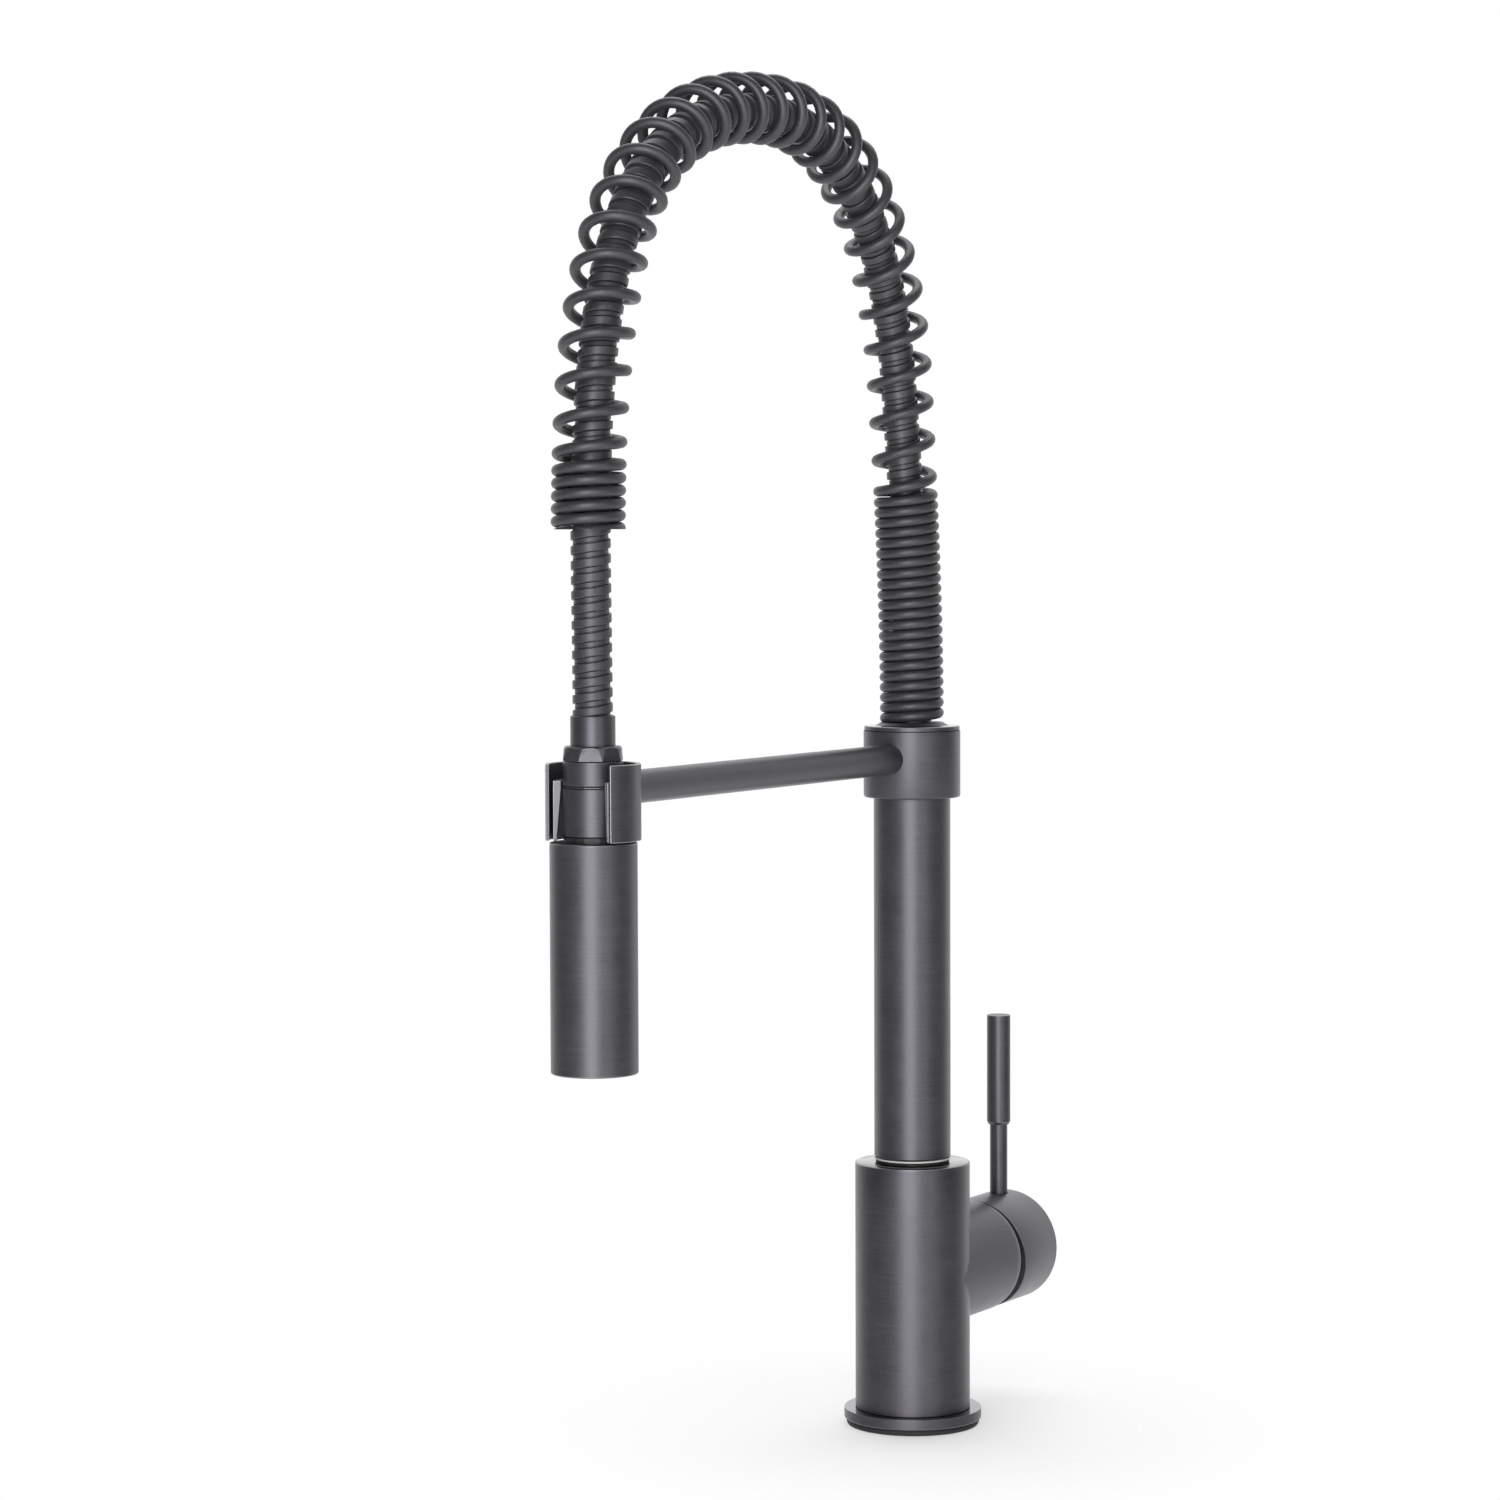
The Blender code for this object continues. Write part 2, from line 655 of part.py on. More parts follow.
CLIP_START = -math.pi / 2 + CLIP_HALF_MOUTH
CLIP_SWEEP = 2 * (math.pi - CLIP_HALF_MOUTH)
clip = make(
    "clip_ring",
    lathe(
        ring(CLIP_R, CLIP_R - CLIP_WALL, CLIP_BOTTOM, CLIP_TOP, 0.4 * MM, 0.4 * MM),
        30,
        CLIP_SWEEP,
        CLIP_START,
        (0, -REACH),
    ),
    AXIS,
)
carve(clip, bar((0, -CLIP_BACK - 7.5 * MM, ARM_Z), (0, -CLIP_BACK + 4.5 * MM, ARM_Z), ARM_SCREW_R))
coated(clip)

head_front = REACH - LINER_R - GAP
clip_screw = make(
    "clip_screw",
    bar((0, -head_front, ARM_Z), (0, -head_front + 0.45 * MM, ARM_Z), 2.9 * MM),
    AXIS,
)
shank = bar((0, -head_front + 0.2 * MM, ARM_Z), (0, -CLIP_BACK + 10.5 * MM, ARM_Z), ARM_SCREW_R - GAP, 12)
carve(clip_screw, shank, "UNION")
steel(clip_screw)

liner = make(
    "clip_liner",
    lathe(
        [
            (LINER_BORE, CLIP_BOTTOM),
            (CLIP_R - CLIP_WALL - GAP, CLIP_BOTTOM),
            (CLIP_R - CLIP_WALL - GAP, CLIP_BOTTOM + 1.5 * MM),
            (LINER_R, CLIP_BOTTOM + 1.5 * MM),
            (LINER_R, LINER_TOP),
            (LINER_BORE, LINER_TOP),
        ],
        30,
        CLIP_SWEEP,
        CLIP_START,
        (0, -REACH),
    ),
    AXIS,
)
plastic(liner)


# ---------------------------------------------------------------- hose and spring
def bezier(p0, p1, p2, p3, count):
    points = []
    for i in range(count):
        t = i / count
        s = 1 - t
        weights = (s * s * s, 3 * s * s * t, 3 * s * t * t, t * t * t)
        points.append(sum((w * Vector(p) for w, p in zip(weights, (p0, p1, p2, p3))), Vector((0, 0))))
    return points


def leaning(point, lean, length):
    return (point[0] + length * math.sin(lean), point[1] + length * math.cos(lean))


def route():
    """The hose's centreline above the collar, as closely spaced (reach, height) points."""
    foot = (0.0, SEAT_TOP)
    end = (REACH, FERRULE_TOP)
    rise = (0, SEAT_TOP + 53.6 * MM)
    line = bezier(foot, rise, leaning(SHOULDER, SHOULDER_LEAN, -32.9 * MM), SHOULDER, 200)
    line += bezier(
        SHOULDER,
        leaning(SHOULDER, SHOULDER_LEAN, 79.2 * MM),
        (APEX[0] - 45.3 * MM, APEX[1]),
        APEX,
        300,
    )
    line += bezier(
        APEX,
        (APEX[0] + 89.5 * MM, APEX[1]),
        leaning(HEAD_SIDE, HEAD_SIDE_LEAN, 93.6 * MM),
        HEAD_SIDE,
        300,
    )
    line += bezier(
        HEAD_SIDE,
        leaning(HEAD_SIDE, HEAD_SIDE_LEAN, -31.5 * MM),
        (REACH, FERRULE_TOP + 30 * MM),
        end,
        200,
    )
    line.append(Vector(end))
    return line


LINE = route()
LENGTHS = [0.0]
for before, after in zip(LINE, LINE[1:]):
    LENGTHS.append(LENGTHS[-1] + (after - before).length)


def at(distance):
    """Point and unit direction of the centreline at a distance from the collar."""
    low = 0
    high = len(LENGTHS) - 1
    while high - low > 1:
        middle = (low + high) // 2
        if LENGTHS[middle] <= distance:
            low = middle
        else:
            high = middle
    share = (distance - LENGTHS[low]) / (LENGTHS[high] - LENGTHS[low])
    point = LINE[low].lerp(LINE[high], share)
    return point, (LINE[high] - LINE[low]).normalized()


def tube_along(name, points, radius, resolution):
    """Closed round tube through points, made from a bevelled curve with filled ends."""
    curve = bpy.data.curves.new(name + "_line", "CURVE")
    curve.dimensions = "3D"
    curve.bevel_depth = radius
    curve.bevel_resolution = resolution
    curve.use_fill_caps = True
    curve.twist_mode = "MINIMUM"
    spline = curve.splines.new("POLY")
    spline.points.add(len(points) - 1)
    for target, point in zip(spline.points, points):
        target.co = (point[0], point[1], point[2], 1.0)
    holder = bpy.data.objects.new(name + "_line", curve)
    bpy.context.scene.collection.objects.link(holder)
    bpy.context.view_layer.update()
    graph = bpy.context.evaluated_depsgraph_get()
    mesh = bpy.data.meshes.new_from_object(holder.evaluated_get(graph))
    bpy.data.objects.remove(holder, do_unlink=True)
    bm = bmesh.new()
    bm.from_mesh(mesh)
    bpy.data.meshes.remove(mesh)
    return make(name, bm, AXIS, 40.0)


hose_points = [Vector((0, 0, HOSE_FOOT_Z)), Vector((0, 0, SEAT_TOP - 60 * MM)), Vector((0, 0, SEAT_TOP - 20 * MM))]
hose_count = 44
for i in range(hose_count):
    point, direction = at(LENGTHS[-1] * i / (hose_count - 1))
    hose_points.append(Vector((0, -point.x, point.y)))
hose_points.append(Vector((0, -REACH, HOSE_END_Z)))
hose = tube_along("spray_hose", hose_points, HOSE_R, 3)
coated(hose)


def pitch_at(turn, middle):
    """Rise per turn: closed on the column, open over the arch, closing again at the free end."""
    into = min(max((turn - COLUMN_TURNS) / OPENING_TURNS, 0.0), 1.0)
    out = min(max((COLUMN_TURNS + OPEN_TURNS - turn) / CLOSING_TURNS, 0.0), 1.0)
    ramp_in = into * into * (3 - 2 * into)
    ramp_out = out * out * (3 - 2 * out)
    middle *= 1 + PITCH_TAPER * (0.5 - (turn - COLUMN_TURNS) / OPEN_TURNS)
    if turn < COLUMN_TURNS + OPEN_TURNS / 2:
        return COLUMN_PITCH + (middle - COLUMN_PITCH) * ramp_in
    return FREE_PITCH + (middle - FREE_PITCH) * ramp_out


def distances(middle):
    """Centreline distance at every step of the coil."""
    steps = round((COLUMN_TURNS + OPEN_TURNS + FREE_TURNS) * STEPS_PER_TURN)
    result = [SEAT_RISE + GAP]
    for i in range(steps):
        result.append(result[-1] + pitch_at((i + 0.5) / STEPS_PER_TURN, middle) / STEPS_PER_TURN)
    return result


# the open pitch is what makes the spring end at its real height above the spray head
free_end = next(d for d, p in zip(reversed(LENGTHS), reversed(LINE)) if p.y > SPRING_FREE_Z)
low_pitch = 10 * MM
high_pitch = 20 * MM
for _ in range(40):
    trial = (low_pitch + high_pitch) / 2
    if distances(trial)[-1] < free_end:
        low_pitch = trial
    else:
        high_pitch = trial

FIRST_ANGLE = math.radians(90)
wire_points = []
coil = distances(low_pitch)
for i, distance in enumerate(coil):
    angle = FIRST_ANGLE + 2 * math.pi * i / STEPS_PER_TURN
    point, direction = at(distance)
    opened = min(max((distance - 95 * MM) / (80 * MM), 0.0), 1.0)
    closed = min(max((distance - free_end + 60 * MM) / (40 * MM), 0.0), 1.0)
    radius = COIL_R + (COIL_R_OPEN - COIL_R) * opened + (COIL_R_FREE - COIL_R_OPEN) * closed
    sag = SPRING_SAG * min(max((distance - free_end) / (160 * MM) + 1, 0.0), 1.0) ** 2
    across = Vector((1, 0, 0))
    normal = Vector((0, direction.y, direction.x))
    centre = Vector((0, -point.x - sag, point.y))
    wire_points.append(centre + radius * (math.cos(angle) * across + math.sin(angle) * normal))
spring = tube_along("support_spring", wire_points, WIRE_R, 1)
ground = lathe(rod(20 * MM, SEAT_TOP - 14 * MM, SEAT_TOP + SEAT_RISE + GAP), 16)
carve(spring, ground)
free_low = (-20 * MM, -REACH - 20 * MM, SPRING_FREE_Z - 21 * MM)
free_high = (20 * MM, -REACH + 20 * MM, SPRING_FREE_Z)
carve(spring, box(free_low, free_high))
coated(spring)

# ---------------------------------------------------------------- spray head
HEAD = (0, -REACH, ARM_Z)
HEAD_XY = (0, -REACH)
ferrule = make(
    "hose_ferrule",
    lathe(ring(FERRULE_R, HOSE_R + GAP, HOSE_NUT_TOP + GAP, FERRULE_TOP, top=0.5 * MM), centre=HEAD_XY),
    HEAD,
)
coated(ferrule)

nut_bm = lathe(
    [
        (3.5 * MM, COUPLING_TOP + GAP),
        (HOSE_NUT_R, COUPLING_TOP + GAP),
        (HOSE_NUT_R - 0.3 * MM, HOSE_NUT_TOP - 0.4 * MM),
        (HOSE_NUT_R - 0.8 * MM, HOSE_NUT_TOP),
        (3.5 * MM, HOSE_NUT_TOP),
    ],
    8,
    start=math.radians(27.6 - 90 + 22.5),
    centre=HEAD_XY,
)
hose_nut = make("hose_nut", nut_bm, HEAD, 20.0)
coated(hose_nut)

PLUG_R = 7.0 * MM
PLUG_LOW = NECK_TOP - 13.6 * MM
coupling = make(
    "swivel_coupling",
    lathe(
        [
            (3.5 * MM, PLUG_LOW),
            (PLUG_R, PLUG_LOW),
            (PLUG_R, NECK_TOP + 1.2 * MM),
            (NECK_R, NECK_TOP + 1.2 * MM),
            (NECK_R, COUPLING_TOP),
            (3.5 * MM, COUPLING_TOP),
        ],
        centre=HEAD_XY,
    ),
    HEAD,
)
coated(coupling)

neck_ring = make(
    "neck_ring",
    lathe(
        ring(NECK_R - 0.4 * MM, PLUG_R + GAP, NECK_TOP + GAP, NECK_TOP + 0.9 * MM, 0.15 * MM),
        centre=HEAD_XY,
    ),
    HEAD,
)
steel(neck_ring)

THROAT_R = NECK_R - 1.2 * MM
NECK_FOOT = BARREL_SHELF - 4.7 * MM
neck = make(
    "spray_neck",
    lathe(
        [
            (4.0 * MM, NECK_FOOT),
            (NECK_R + 1.4 * MM, NECK_FOOT),
            (NECK_R + 1.4 * MM, BARREL_SHELF - GAP),
            (THROAT_R, BARREL_SHELF - GAP),
            (THROAT_R, NECK_BOTTOM),
            (NECK_R - 0.3 * MM, NECK_BOTTOM),
            (NECK_R, NECK_BOTTOM + 0.3 * MM),
            (NECK_R, NECK_TOP),
            (PLUG_R + GAP, NECK_TOP),
            (PLUG_R + GAP, PLUG_LOW - GAP),
            (4.0 * MM, PLUG_LOW - GAP),
        ],
        centre=HEAD_XY,
    ),
    HEAD,
)
coated(neck)

neck_washer = make(
    "neck_washer",
    lathe(
        ring(NECK_R - 0.1 * MM, THROAT_R + GAP, BARREL_TOP + GAP, NECK_BOTTOM - GAP, 0.2 * MM),
        centre=HEAD_XY,
    ),
    HEAD,
)
plastic(neck_washer)

barrel = make(
    "spray_barrel",
    lathe(
        [
            (BARREL_BORE, BARREL_BOTTOM),
            (BARREL_R - 0.4 * MM, BARREL_BOTTOM),
            (BARREL_R, BARREL_BOTTOM + 0.4 * MM),
            (BARREL_R, BARREL_TOP - 0.6 * MM),
            (BARREL_R - 0.6 * MM, BARREL_TOP),
            (THROAT_R + GAP, BARREL_TOP),
            (THROAT_R + GAP, BARREL_SHELF),
            (BARREL_BORE, BARREL_SHELF),
        ],
        FINE,
        centre=HEAD_XY,
    ),
    HEAD,
)
coated(barrel)

PLATE_LOW = BARREL_BOTTOM + 2.0 * MM
PLATE_TOP = PLATE_LOW + 11.2 * MM
PLATE_FLOOR = PLATE_LOW + 2.5 * MM
NOZZLE_RING_R = BARREL_BORE - 3.6 * MM
core = make(
    "barrel_core",
    lathe(
        [
            (3.5 * MM, PLATE_TOP + GAP),
            (6.0 * MM, PLATE_TOP + GAP),
            (6.0 * MM, NECK_FOOT - 5 * MM),
            (BARREL_BORE - GAP, NECK_FOOT - 5 * MM),
            (BARREL_BORE - GAP, NECK_FOOT - GAP),
            (3.5 * MM, NECK_FOOT - GAP),
        ],
        centre=HEAD_XY,
    ),
    HEAD,
)
natural(core)

AERATOR_R = 7.0 * MM
plate = make(
    "spray_plate",
    lathe(
        [
            (AERATOR_R + GAP, PLATE_LOW),
            (BARREL_BORE - GAP, PLATE_LOW),
            (BARREL_BORE - GAP, PLATE_TOP),
            (BARREL_BORE - 1.5 * MM, PLATE_TOP),
            (BARREL_BORE - 1.5 * MM, PLATE_FLOOR),
            (AERATOR_R + 1.4 * MM, PLATE_FLOOR),
            (AERATOR_R + 1.4 * MM, PLATE_TOP),
            (AERATOR_R + GAP, PLATE_TOP),
        ],
        centre=HEAD_XY,
    ),
    HEAD,
)
jets = bmesh.new()
for i in range(12):
    angle = 2 * math.pi * (i + 0.5) / 12
    x = NOZZLE_RING_R * math.cos(angle)
    y = NOZZLE_RING_R * math.sin(angle) - REACH
    bar((x, y, PLATE_LOW - 1.5 * MM), (x, y, PLATE_FLOOR + 2 * MM), 0.8 * MM, 6, jets)
carve(plate, jets)
plastic(plate)

aerator_outline = ring(AERATOR_R, 3.0 * MM, PLATE_LOW + 0.2 * MM, PLATE_TOP, 0.4 * MM)
aerator = make("aerator", lathe(aerator_outline, 24, centre=HEAD_XY), HEAD)
steel(aerator)
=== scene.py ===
# %% [markdown]
# # A pre-rinse kitchen faucet
# A column stands on a deck flange. A coil spring carries a strip-wound hose in an arch from the
# column to a spray head, which hangs in an open clip at the end of a docking arm. One lever on
# the side mixes hot and cold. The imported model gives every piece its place, and this script makes
# the pieces that show, finer and with rounded edges, and gives each one its finish.

# %% Load the frame
import bisect
import math

import bpy
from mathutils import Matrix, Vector
from mathutils.geometry import interpolate_bezier


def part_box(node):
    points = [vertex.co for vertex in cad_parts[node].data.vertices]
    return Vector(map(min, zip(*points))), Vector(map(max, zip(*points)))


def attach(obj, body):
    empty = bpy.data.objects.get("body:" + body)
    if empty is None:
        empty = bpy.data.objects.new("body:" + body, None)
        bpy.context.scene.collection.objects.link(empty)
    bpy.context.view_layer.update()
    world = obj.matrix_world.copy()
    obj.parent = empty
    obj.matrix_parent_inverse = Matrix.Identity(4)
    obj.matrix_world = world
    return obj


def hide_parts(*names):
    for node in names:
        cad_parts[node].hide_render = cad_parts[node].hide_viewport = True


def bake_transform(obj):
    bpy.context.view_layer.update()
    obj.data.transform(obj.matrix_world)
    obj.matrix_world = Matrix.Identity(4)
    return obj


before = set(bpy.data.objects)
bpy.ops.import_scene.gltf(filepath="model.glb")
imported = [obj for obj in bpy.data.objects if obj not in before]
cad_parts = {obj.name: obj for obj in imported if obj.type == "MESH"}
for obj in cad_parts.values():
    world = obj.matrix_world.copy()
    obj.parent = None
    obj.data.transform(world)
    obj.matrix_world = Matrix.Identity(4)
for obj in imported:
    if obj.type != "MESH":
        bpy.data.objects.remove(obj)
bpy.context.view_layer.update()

MM = 0.001

# %% [markdown]
# ## Camera
# The camera stands to the right of the spout, a little above the docking arm, and looks slightly
# down. A long lens keeps the upright column from spreading. It comes first, because everything
# that follows is judged through it.

# %% Camera
LENS = 98.109
STAND = (0.81666, -1.49729, 0.37834)
TILT, ROLL, HEADING = 86.8238, 0.1978, 30.8703

camera_data = bpy.data.cameras.new("camera")
camera_data.lens = LENS
camera_data.sensor_width = 36.0
camera_data.clip_start = 0.05
camera = bpy.data.objects.new("camera", camera_data)
camera.location = STAND
camera.rotation_euler = [math.radians(angle) for angle in (TILT, ROLL, HEADING)]
bpy.context.scene.collection.objects.link(camera)
bpy.context.scene.camera = camera
CAMERA_AZIMUTH = math.atan2(camera.location.x, -camera.location.y)
print("camera azimuth:", round(math.degrees(CAMERA_AZIMUTH), 1))

# %% [markdown]
# ## Studio
# A satin dark metal shows little of its own colour. What the eye reads is the light that it
# mirrors: a broad bright band down the middle of each cylinder, dark flanks, and a thin pale rim
# where the surface turns toward the white wall behind. So the studio is a white wall behind, dark
# sides, one tall soft box near the camera and a wide one overhead. The world holds the walls as
# smooth gradients, which costs no render time, and area lights do the rest.

# %% World
world = bpy.data.worlds.new("studio")
bpy.context.scene.world = world
world.use_nodes = True
tree = world.node_tree
tree.nodes.clear()


def add(tree, kind, settings=(), **inputs):
    """A new node with its settings made and its inputs set or linked, by socket name."""
    node = tree.nodes.new(kind)
    for key, value in dict(settings).items():
        setattr(node, key, value)
    for key, value in inputs.items():
        socket = node.inputs[int(key[1:])] if key[0] == "_" else node.inputs[key.replace("_", " ")]
        if isinstance(value, bpy.types.NodeSocket):
            tree.links.new(value, socket)
        else:
            socket.default_value = value
    return node


def ramp(tree, value, *stops):
    """A colour ramp of grey stops, each (place, grey)."""
    node = add(tree, "ShaderNodeValToRGB", Fac=value)
    points = node.color_ramp.elements
    while len(points) < len(stops):
        points.new(0.5)
    for point, (place, grey) in zip(points, stops):
        point.position = place
        point.color = (grey, grey, grey, 1)
    return node.outputs["Color"]


toward_camera = (math.sin(CAMERA_AZIMUTH), -math.cos(CAMERA_AZIMUTH), 0.0)
direction = add(tree, "ShaderNodeTexCoord").outputs["Generated"]
facing = add(
    tree, "ShaderNodeVectorMath", {"operation": "DOT_PRODUCT"}, _0=direction, _1=toward_camera
).outputs["Value"]
upward = add(tree, "ShaderNodeSeparateXYZ", Vector=direction).outputs["Z"]
across, rise = (
    add(tree, "ShaderNodeMapRange", Value=value, From_Min=-1.0, From_Max=1.0).outputs["Result"]
    for value in (facing, upward)
)
walls = ramp(tree, across, (0.0, 1.0), (0.16, 0.92), (0.36, 0.16), (0.62, 0.06), (1.0, 0.18))
below = ramp(tree, rise, (0.0, 0.85), (0.30, 0.55), (0.49, 0.0), (1.0, 0.0))
lighten = {"data_type": "RGBA", "blend_type": "LIGHTEN"}
lit = add(tree, "ShaderNodeMix", lighten, _0=1.0, _6=walls, _7=below)
room = add(tree, "ShaderNodeBackground", Color=lit.outputs[2], Strength=1.5)
white = add(tree, "ShaderNodeBackground", Color=(1, 1, 1, 1), Strength=1.0)
seen = add(tree, "ShaderNodeLightPath").outputs["Is Camera Ray"]
mixed = add(tree, "ShaderNodeMixShader", _0=seen, _1=room.outputs[0], _2=white.outputs[0])
add(tree, "ShaderNodeOutputWorld", Surface=mixed.outputs[0])
bpy.context.scene.view_settings.view_transform = "Standard"
print("world nodes:", len(tree.nodes))


# %% Soft boxes
MIDDLE = Vector((0, -0.1, 0.28))


def soft_box(name, azimuth, elevation, distance, width, height, power):
    """An area light that looks at the middle of the faucet from a compass bearing."""
    data = bpy.data.lights.new(name, "AREA")
    data.shape = "RECTANGLE"
    data.size = width
    data.size_y = height
    data.energy = power
    lamp = bpy.data.objects.new(name, data)
    bearing = CAMERA_AZIMUTH + math.radians(azimuth)
    lift = math.radians(elevation)
    level = math.cos(lift)
    back = Vector((math.sin(bearing) * level, -math.cos(bearing) * level, math.sin(lift)))
    lamp.location = MIDDLE + distance * back
    lamp.rotation_euler = back.to_track_quat("Z", "Y").to_euler()
    lamp.visible_camera = False
    bpy.context.scene.collection.objects.link(lamp)
    print(f"{name}: {power} W, {width} x {height} m")


soft_box("key", -5, 4, 2.2, 1.2, 2.3, 46)
soft_box("fill", 38, 4, 2.4, 0.9, 2.2, 9)
soft_box("overhead", 180, 68, 1.8, 1.6, 1.0, 16)

# %% [markdown]
# ## Floor
# The floor is a pale disc. It fades out with distance, so the white wall takes over with no line
# at the horizon, and only a faint soft shadow is left under the base.

# %% Floor
FLOOR_R = 1.6
bpy.ops.mesh.primitive_circle_add(
    vertices=64, radius=FLOOR_R, location=(0, 0, -0.2 * MM), fill_type="NGON"
)
floor = bpy.context.object
floor.name = "floor"
paper = bpy.data.materials.new("floor_paper")
paper.use_nodes = True
tree = paper.node_tree
tree.nodes.clear()
place = add(tree, "ShaderNodeTexCoord").outputs["Object"]
away = add(tree, "ShaderNodeVectorMath", {"operation": "LENGTH"}, _0=place)
fade = ramp(tree, away.outputs["Value"], (0.030, 0.50), (0.17, 1.0))
grain = add(tree, "ShaderNodeTexNoise", Vector=place, Scale=900.0, Detail=3.0)
shade = ramp(tree, grain.outputs["Fac"], (0.3, 0.93), (0.7, 0.96))
matte = add(tree, "ShaderNodeBsdfPrincipled", Base_Color=shade, Roughness=0.9)
clear = add(tree, "ShaderNodeBsdfTransparent")
faded = add(tree, "ShaderNodeMixShader", _0=fade, _1=matte.outputs[0], _2=clear.outputs[0])
add(tree, "ShaderNodeOutputMaterial", Surface=faded.outputs[0])
floor.data.materials.append(paper)
print("floor:", [round(s, 2) for s in floor.dimensions], "m")

# %% [markdown]
# ## The gunmetal coating
# The outside is brass with a dark physical-vapour coating over a brushed surface. Three things
# give it away: a slightly violet grey, fine brush lines that run round each turned piece, and a
# cloudy, pearly change of gloss. The brush lines are noise that is stretched round the piece and
# packed tight along its axis, so each piece is told which way its axis runs. The same noise moves
# the roughness and a very shallow bump, so highlights break up as they do on real brushed metal.

# %% Coating
COAT_DARK = (0.082, 0.079, 0.090, 1)
COAT_LIGHT = (0.118, 0.114, 0.127, 1)
ALONG = {"y": (55, 2600, 55), "z": (55, 55, 2600), "none": (900, 900, 900)}
MIX_RANGE = (0.36, 0.66)
NOISE = "ShaderNodeTexNoise"


def two_tone(tree, value, low, high, dark, light):
    """Blend from one colour to another while a value runs from low to high."""
    node = add(tree, "ShaderNodeValToRGB", Fac=value)
    for point, place, colour in zip(node.color_ramp.elements, (low, high), (dark, light)):
        point.position = place
        point.color = colour
    return node.outputs["Color"]


def span(tree, value, low, high):
    """Map a value from 0..1 to low..high."""
    return add(tree, "ShaderNodeMapRange", Value=value, To_Min=low, To_Max=high).outputs["Result"]


def coating(
    name, axis="z", dark=COAT_DARK, light=COAT_LIGHT, rough=(0.38, 0.50), metallic=0.85, bump=0.10
):
    """The gunmetal finish, with brush lines, clouds and specks that share one mixed noise."""
    material = bpy.data.materials.new(name)
    material.use_nodes = True
    tree = material.node_tree
    shader = tree.nodes["Principled BSDF"]
    place = add(tree, "ShaderNodeTexCoord").outputs["Object"]
    packed = add(tree, "ShaderNodeMapping", Vector=place, Scale=ALONG[axis]).outputs[0]
    lines = add(tree, NOISE, Vector=packed, Scale=1.0, Detail=4.0, Roughness=0.62)
    cloud = add(tree, NOISE, Vector=place, Scale=95.0, Detail=5.0, Roughness=0.6)
    speck = add(tree, NOISE, Vector=place, Scale=2200.0, Detail=2.0)
    mix = 0.0
    for noise, share in ((lines, 0.45), (cloud, 0.35), (speck, 0.20)):
        part = {"_0": noise.outputs["Fac"], "_1": share, "_2": mix}
        mix = add(tree, "ShaderNodeMath", {"operation": "MULTIPLY_ADD"}, **part).outputs[0]
    tree.links.new(two_tone(tree, mix, *MIX_RANGE, dark, light), shader.inputs["Base Color"])
    source = dict(zip(("From_Min", "From_Max"), MIX_RANGE))
    target = dict(zip(("To_Min", "To_Max"), rough))
    gloss = add(tree, "ShaderNodeMapRange", Value=mix, **source, **target)
    tree.links.new(gloss.outputs["Result"], shader.inputs["Roughness"])
    height = add(tree, "ShaderNodeBump", Height=mix, Strength=bump, Distance=0.05 * MM)
    tree.links.new(height.outputs[0], shader.inputs["Normal"])
    shader.inputs["Metallic"].default_value = metallic
    shader.inputs["Specular IOR Level"].default_value = 0.5
    return material


coat_z = coating("gunmetal_turned_upright", "z")
coat_y = coating("gunmetal_turned_level", "y")
coat_wire = coating(
    "gunmetal_wire",
    "none",
    dark=(0.060, 0.058, 0.066, 1),
    light=(0.080, 0.077, 0.086, 1),
    rough=(0.42, 0.52),
    metallic=0.6,
    bump=0.03,
)
coat_hose = coating(
    "gunmetal_strip",
    "none",
    dark=(0.062, 0.060, 0.068, 1),
    light=(0.088, 0.085, 0.095, 1),
    rough=(0.40, 0.52),
    metallic=0.6,
    bump=0.05,
)
coat_top = coating("gunmetal_faced", "none", rough=(0.16, 0.24), bump=0.02)
# A pale coat for the rims of the clip and its liner: a painted highlight, the thin bright lines
# along their edges.
glint = coating(
    "gunmetal_painted_glint",
    "none",
    dark=(0.30, 0.295, 0.31, 1),
    light=(0.38, 0.375, 0.39, 1),
    rough=(0.28, 0.36),
    bump=0.02,
)
# A lighter coat for bevelled rims: partly a rubbed coating, partly a painted highlight along each
# rim.
worn_and_painted_highlight = coating(
    "gunmetal_edge_worn_and_painted_highlight",
    "none",
    dark=(0.15, 0.145, 0.16, 1),
    light=(0.21, 0.205, 0.22, 1),
    rough=(0.30, 0.40),
    bump=0.04,
)
print("coatings:", [m.name for m in bpy.data.materials if m.name.startswith("gunmetal")])

# %% [markdown]
# ## Other finishes
# Rubber, moulded plastic, machined brass and bright steel each need their own grain. Rubber is a
# matte black with a soft mottled bump. Plastic has the fine spark-eroded texture of its mould.
# Brass and steel are bare metal with turning marks.

# %% Rubber, plastic, brass and steel
def grained(name, dark, light, rough, metallic, scales, bump):
    """A material whose colour, gloss and bump all follow one noise, stretched by scales."""
    material = bpy.data.materials.new(name)
    material.use_nodes = True
    tree = material.node_tree
    shader = tree.nodes["Principled BSDF"]
    place = add(tree, "ShaderNodeTexCoord").outputs["Object"]
    packed = add(tree, "ShaderNodeMapping", Vector=place, Scale=scales).outputs[0]
    fine = add(tree, NOISE, Vector=packed, Scale=1.0, Detail=4.0, Roughness=0.6).outputs["Fac"]
    tree.links.new(two_tone(tree, fine, 0.32, 0.68, dark, light), shader.inputs["Base Color"])
    tree.links.new(span(tree, fine, *rough), shader.inputs["Roughness"])
    height = add(tree, "ShaderNodeBump", Height=fine, Strength=bump, Distance=0.05 * MM)
    tree.links.new(height.outputs[0], shader.inputs["Normal"])
    shader.inputs["Metallic"].default_value = metallic
    return material


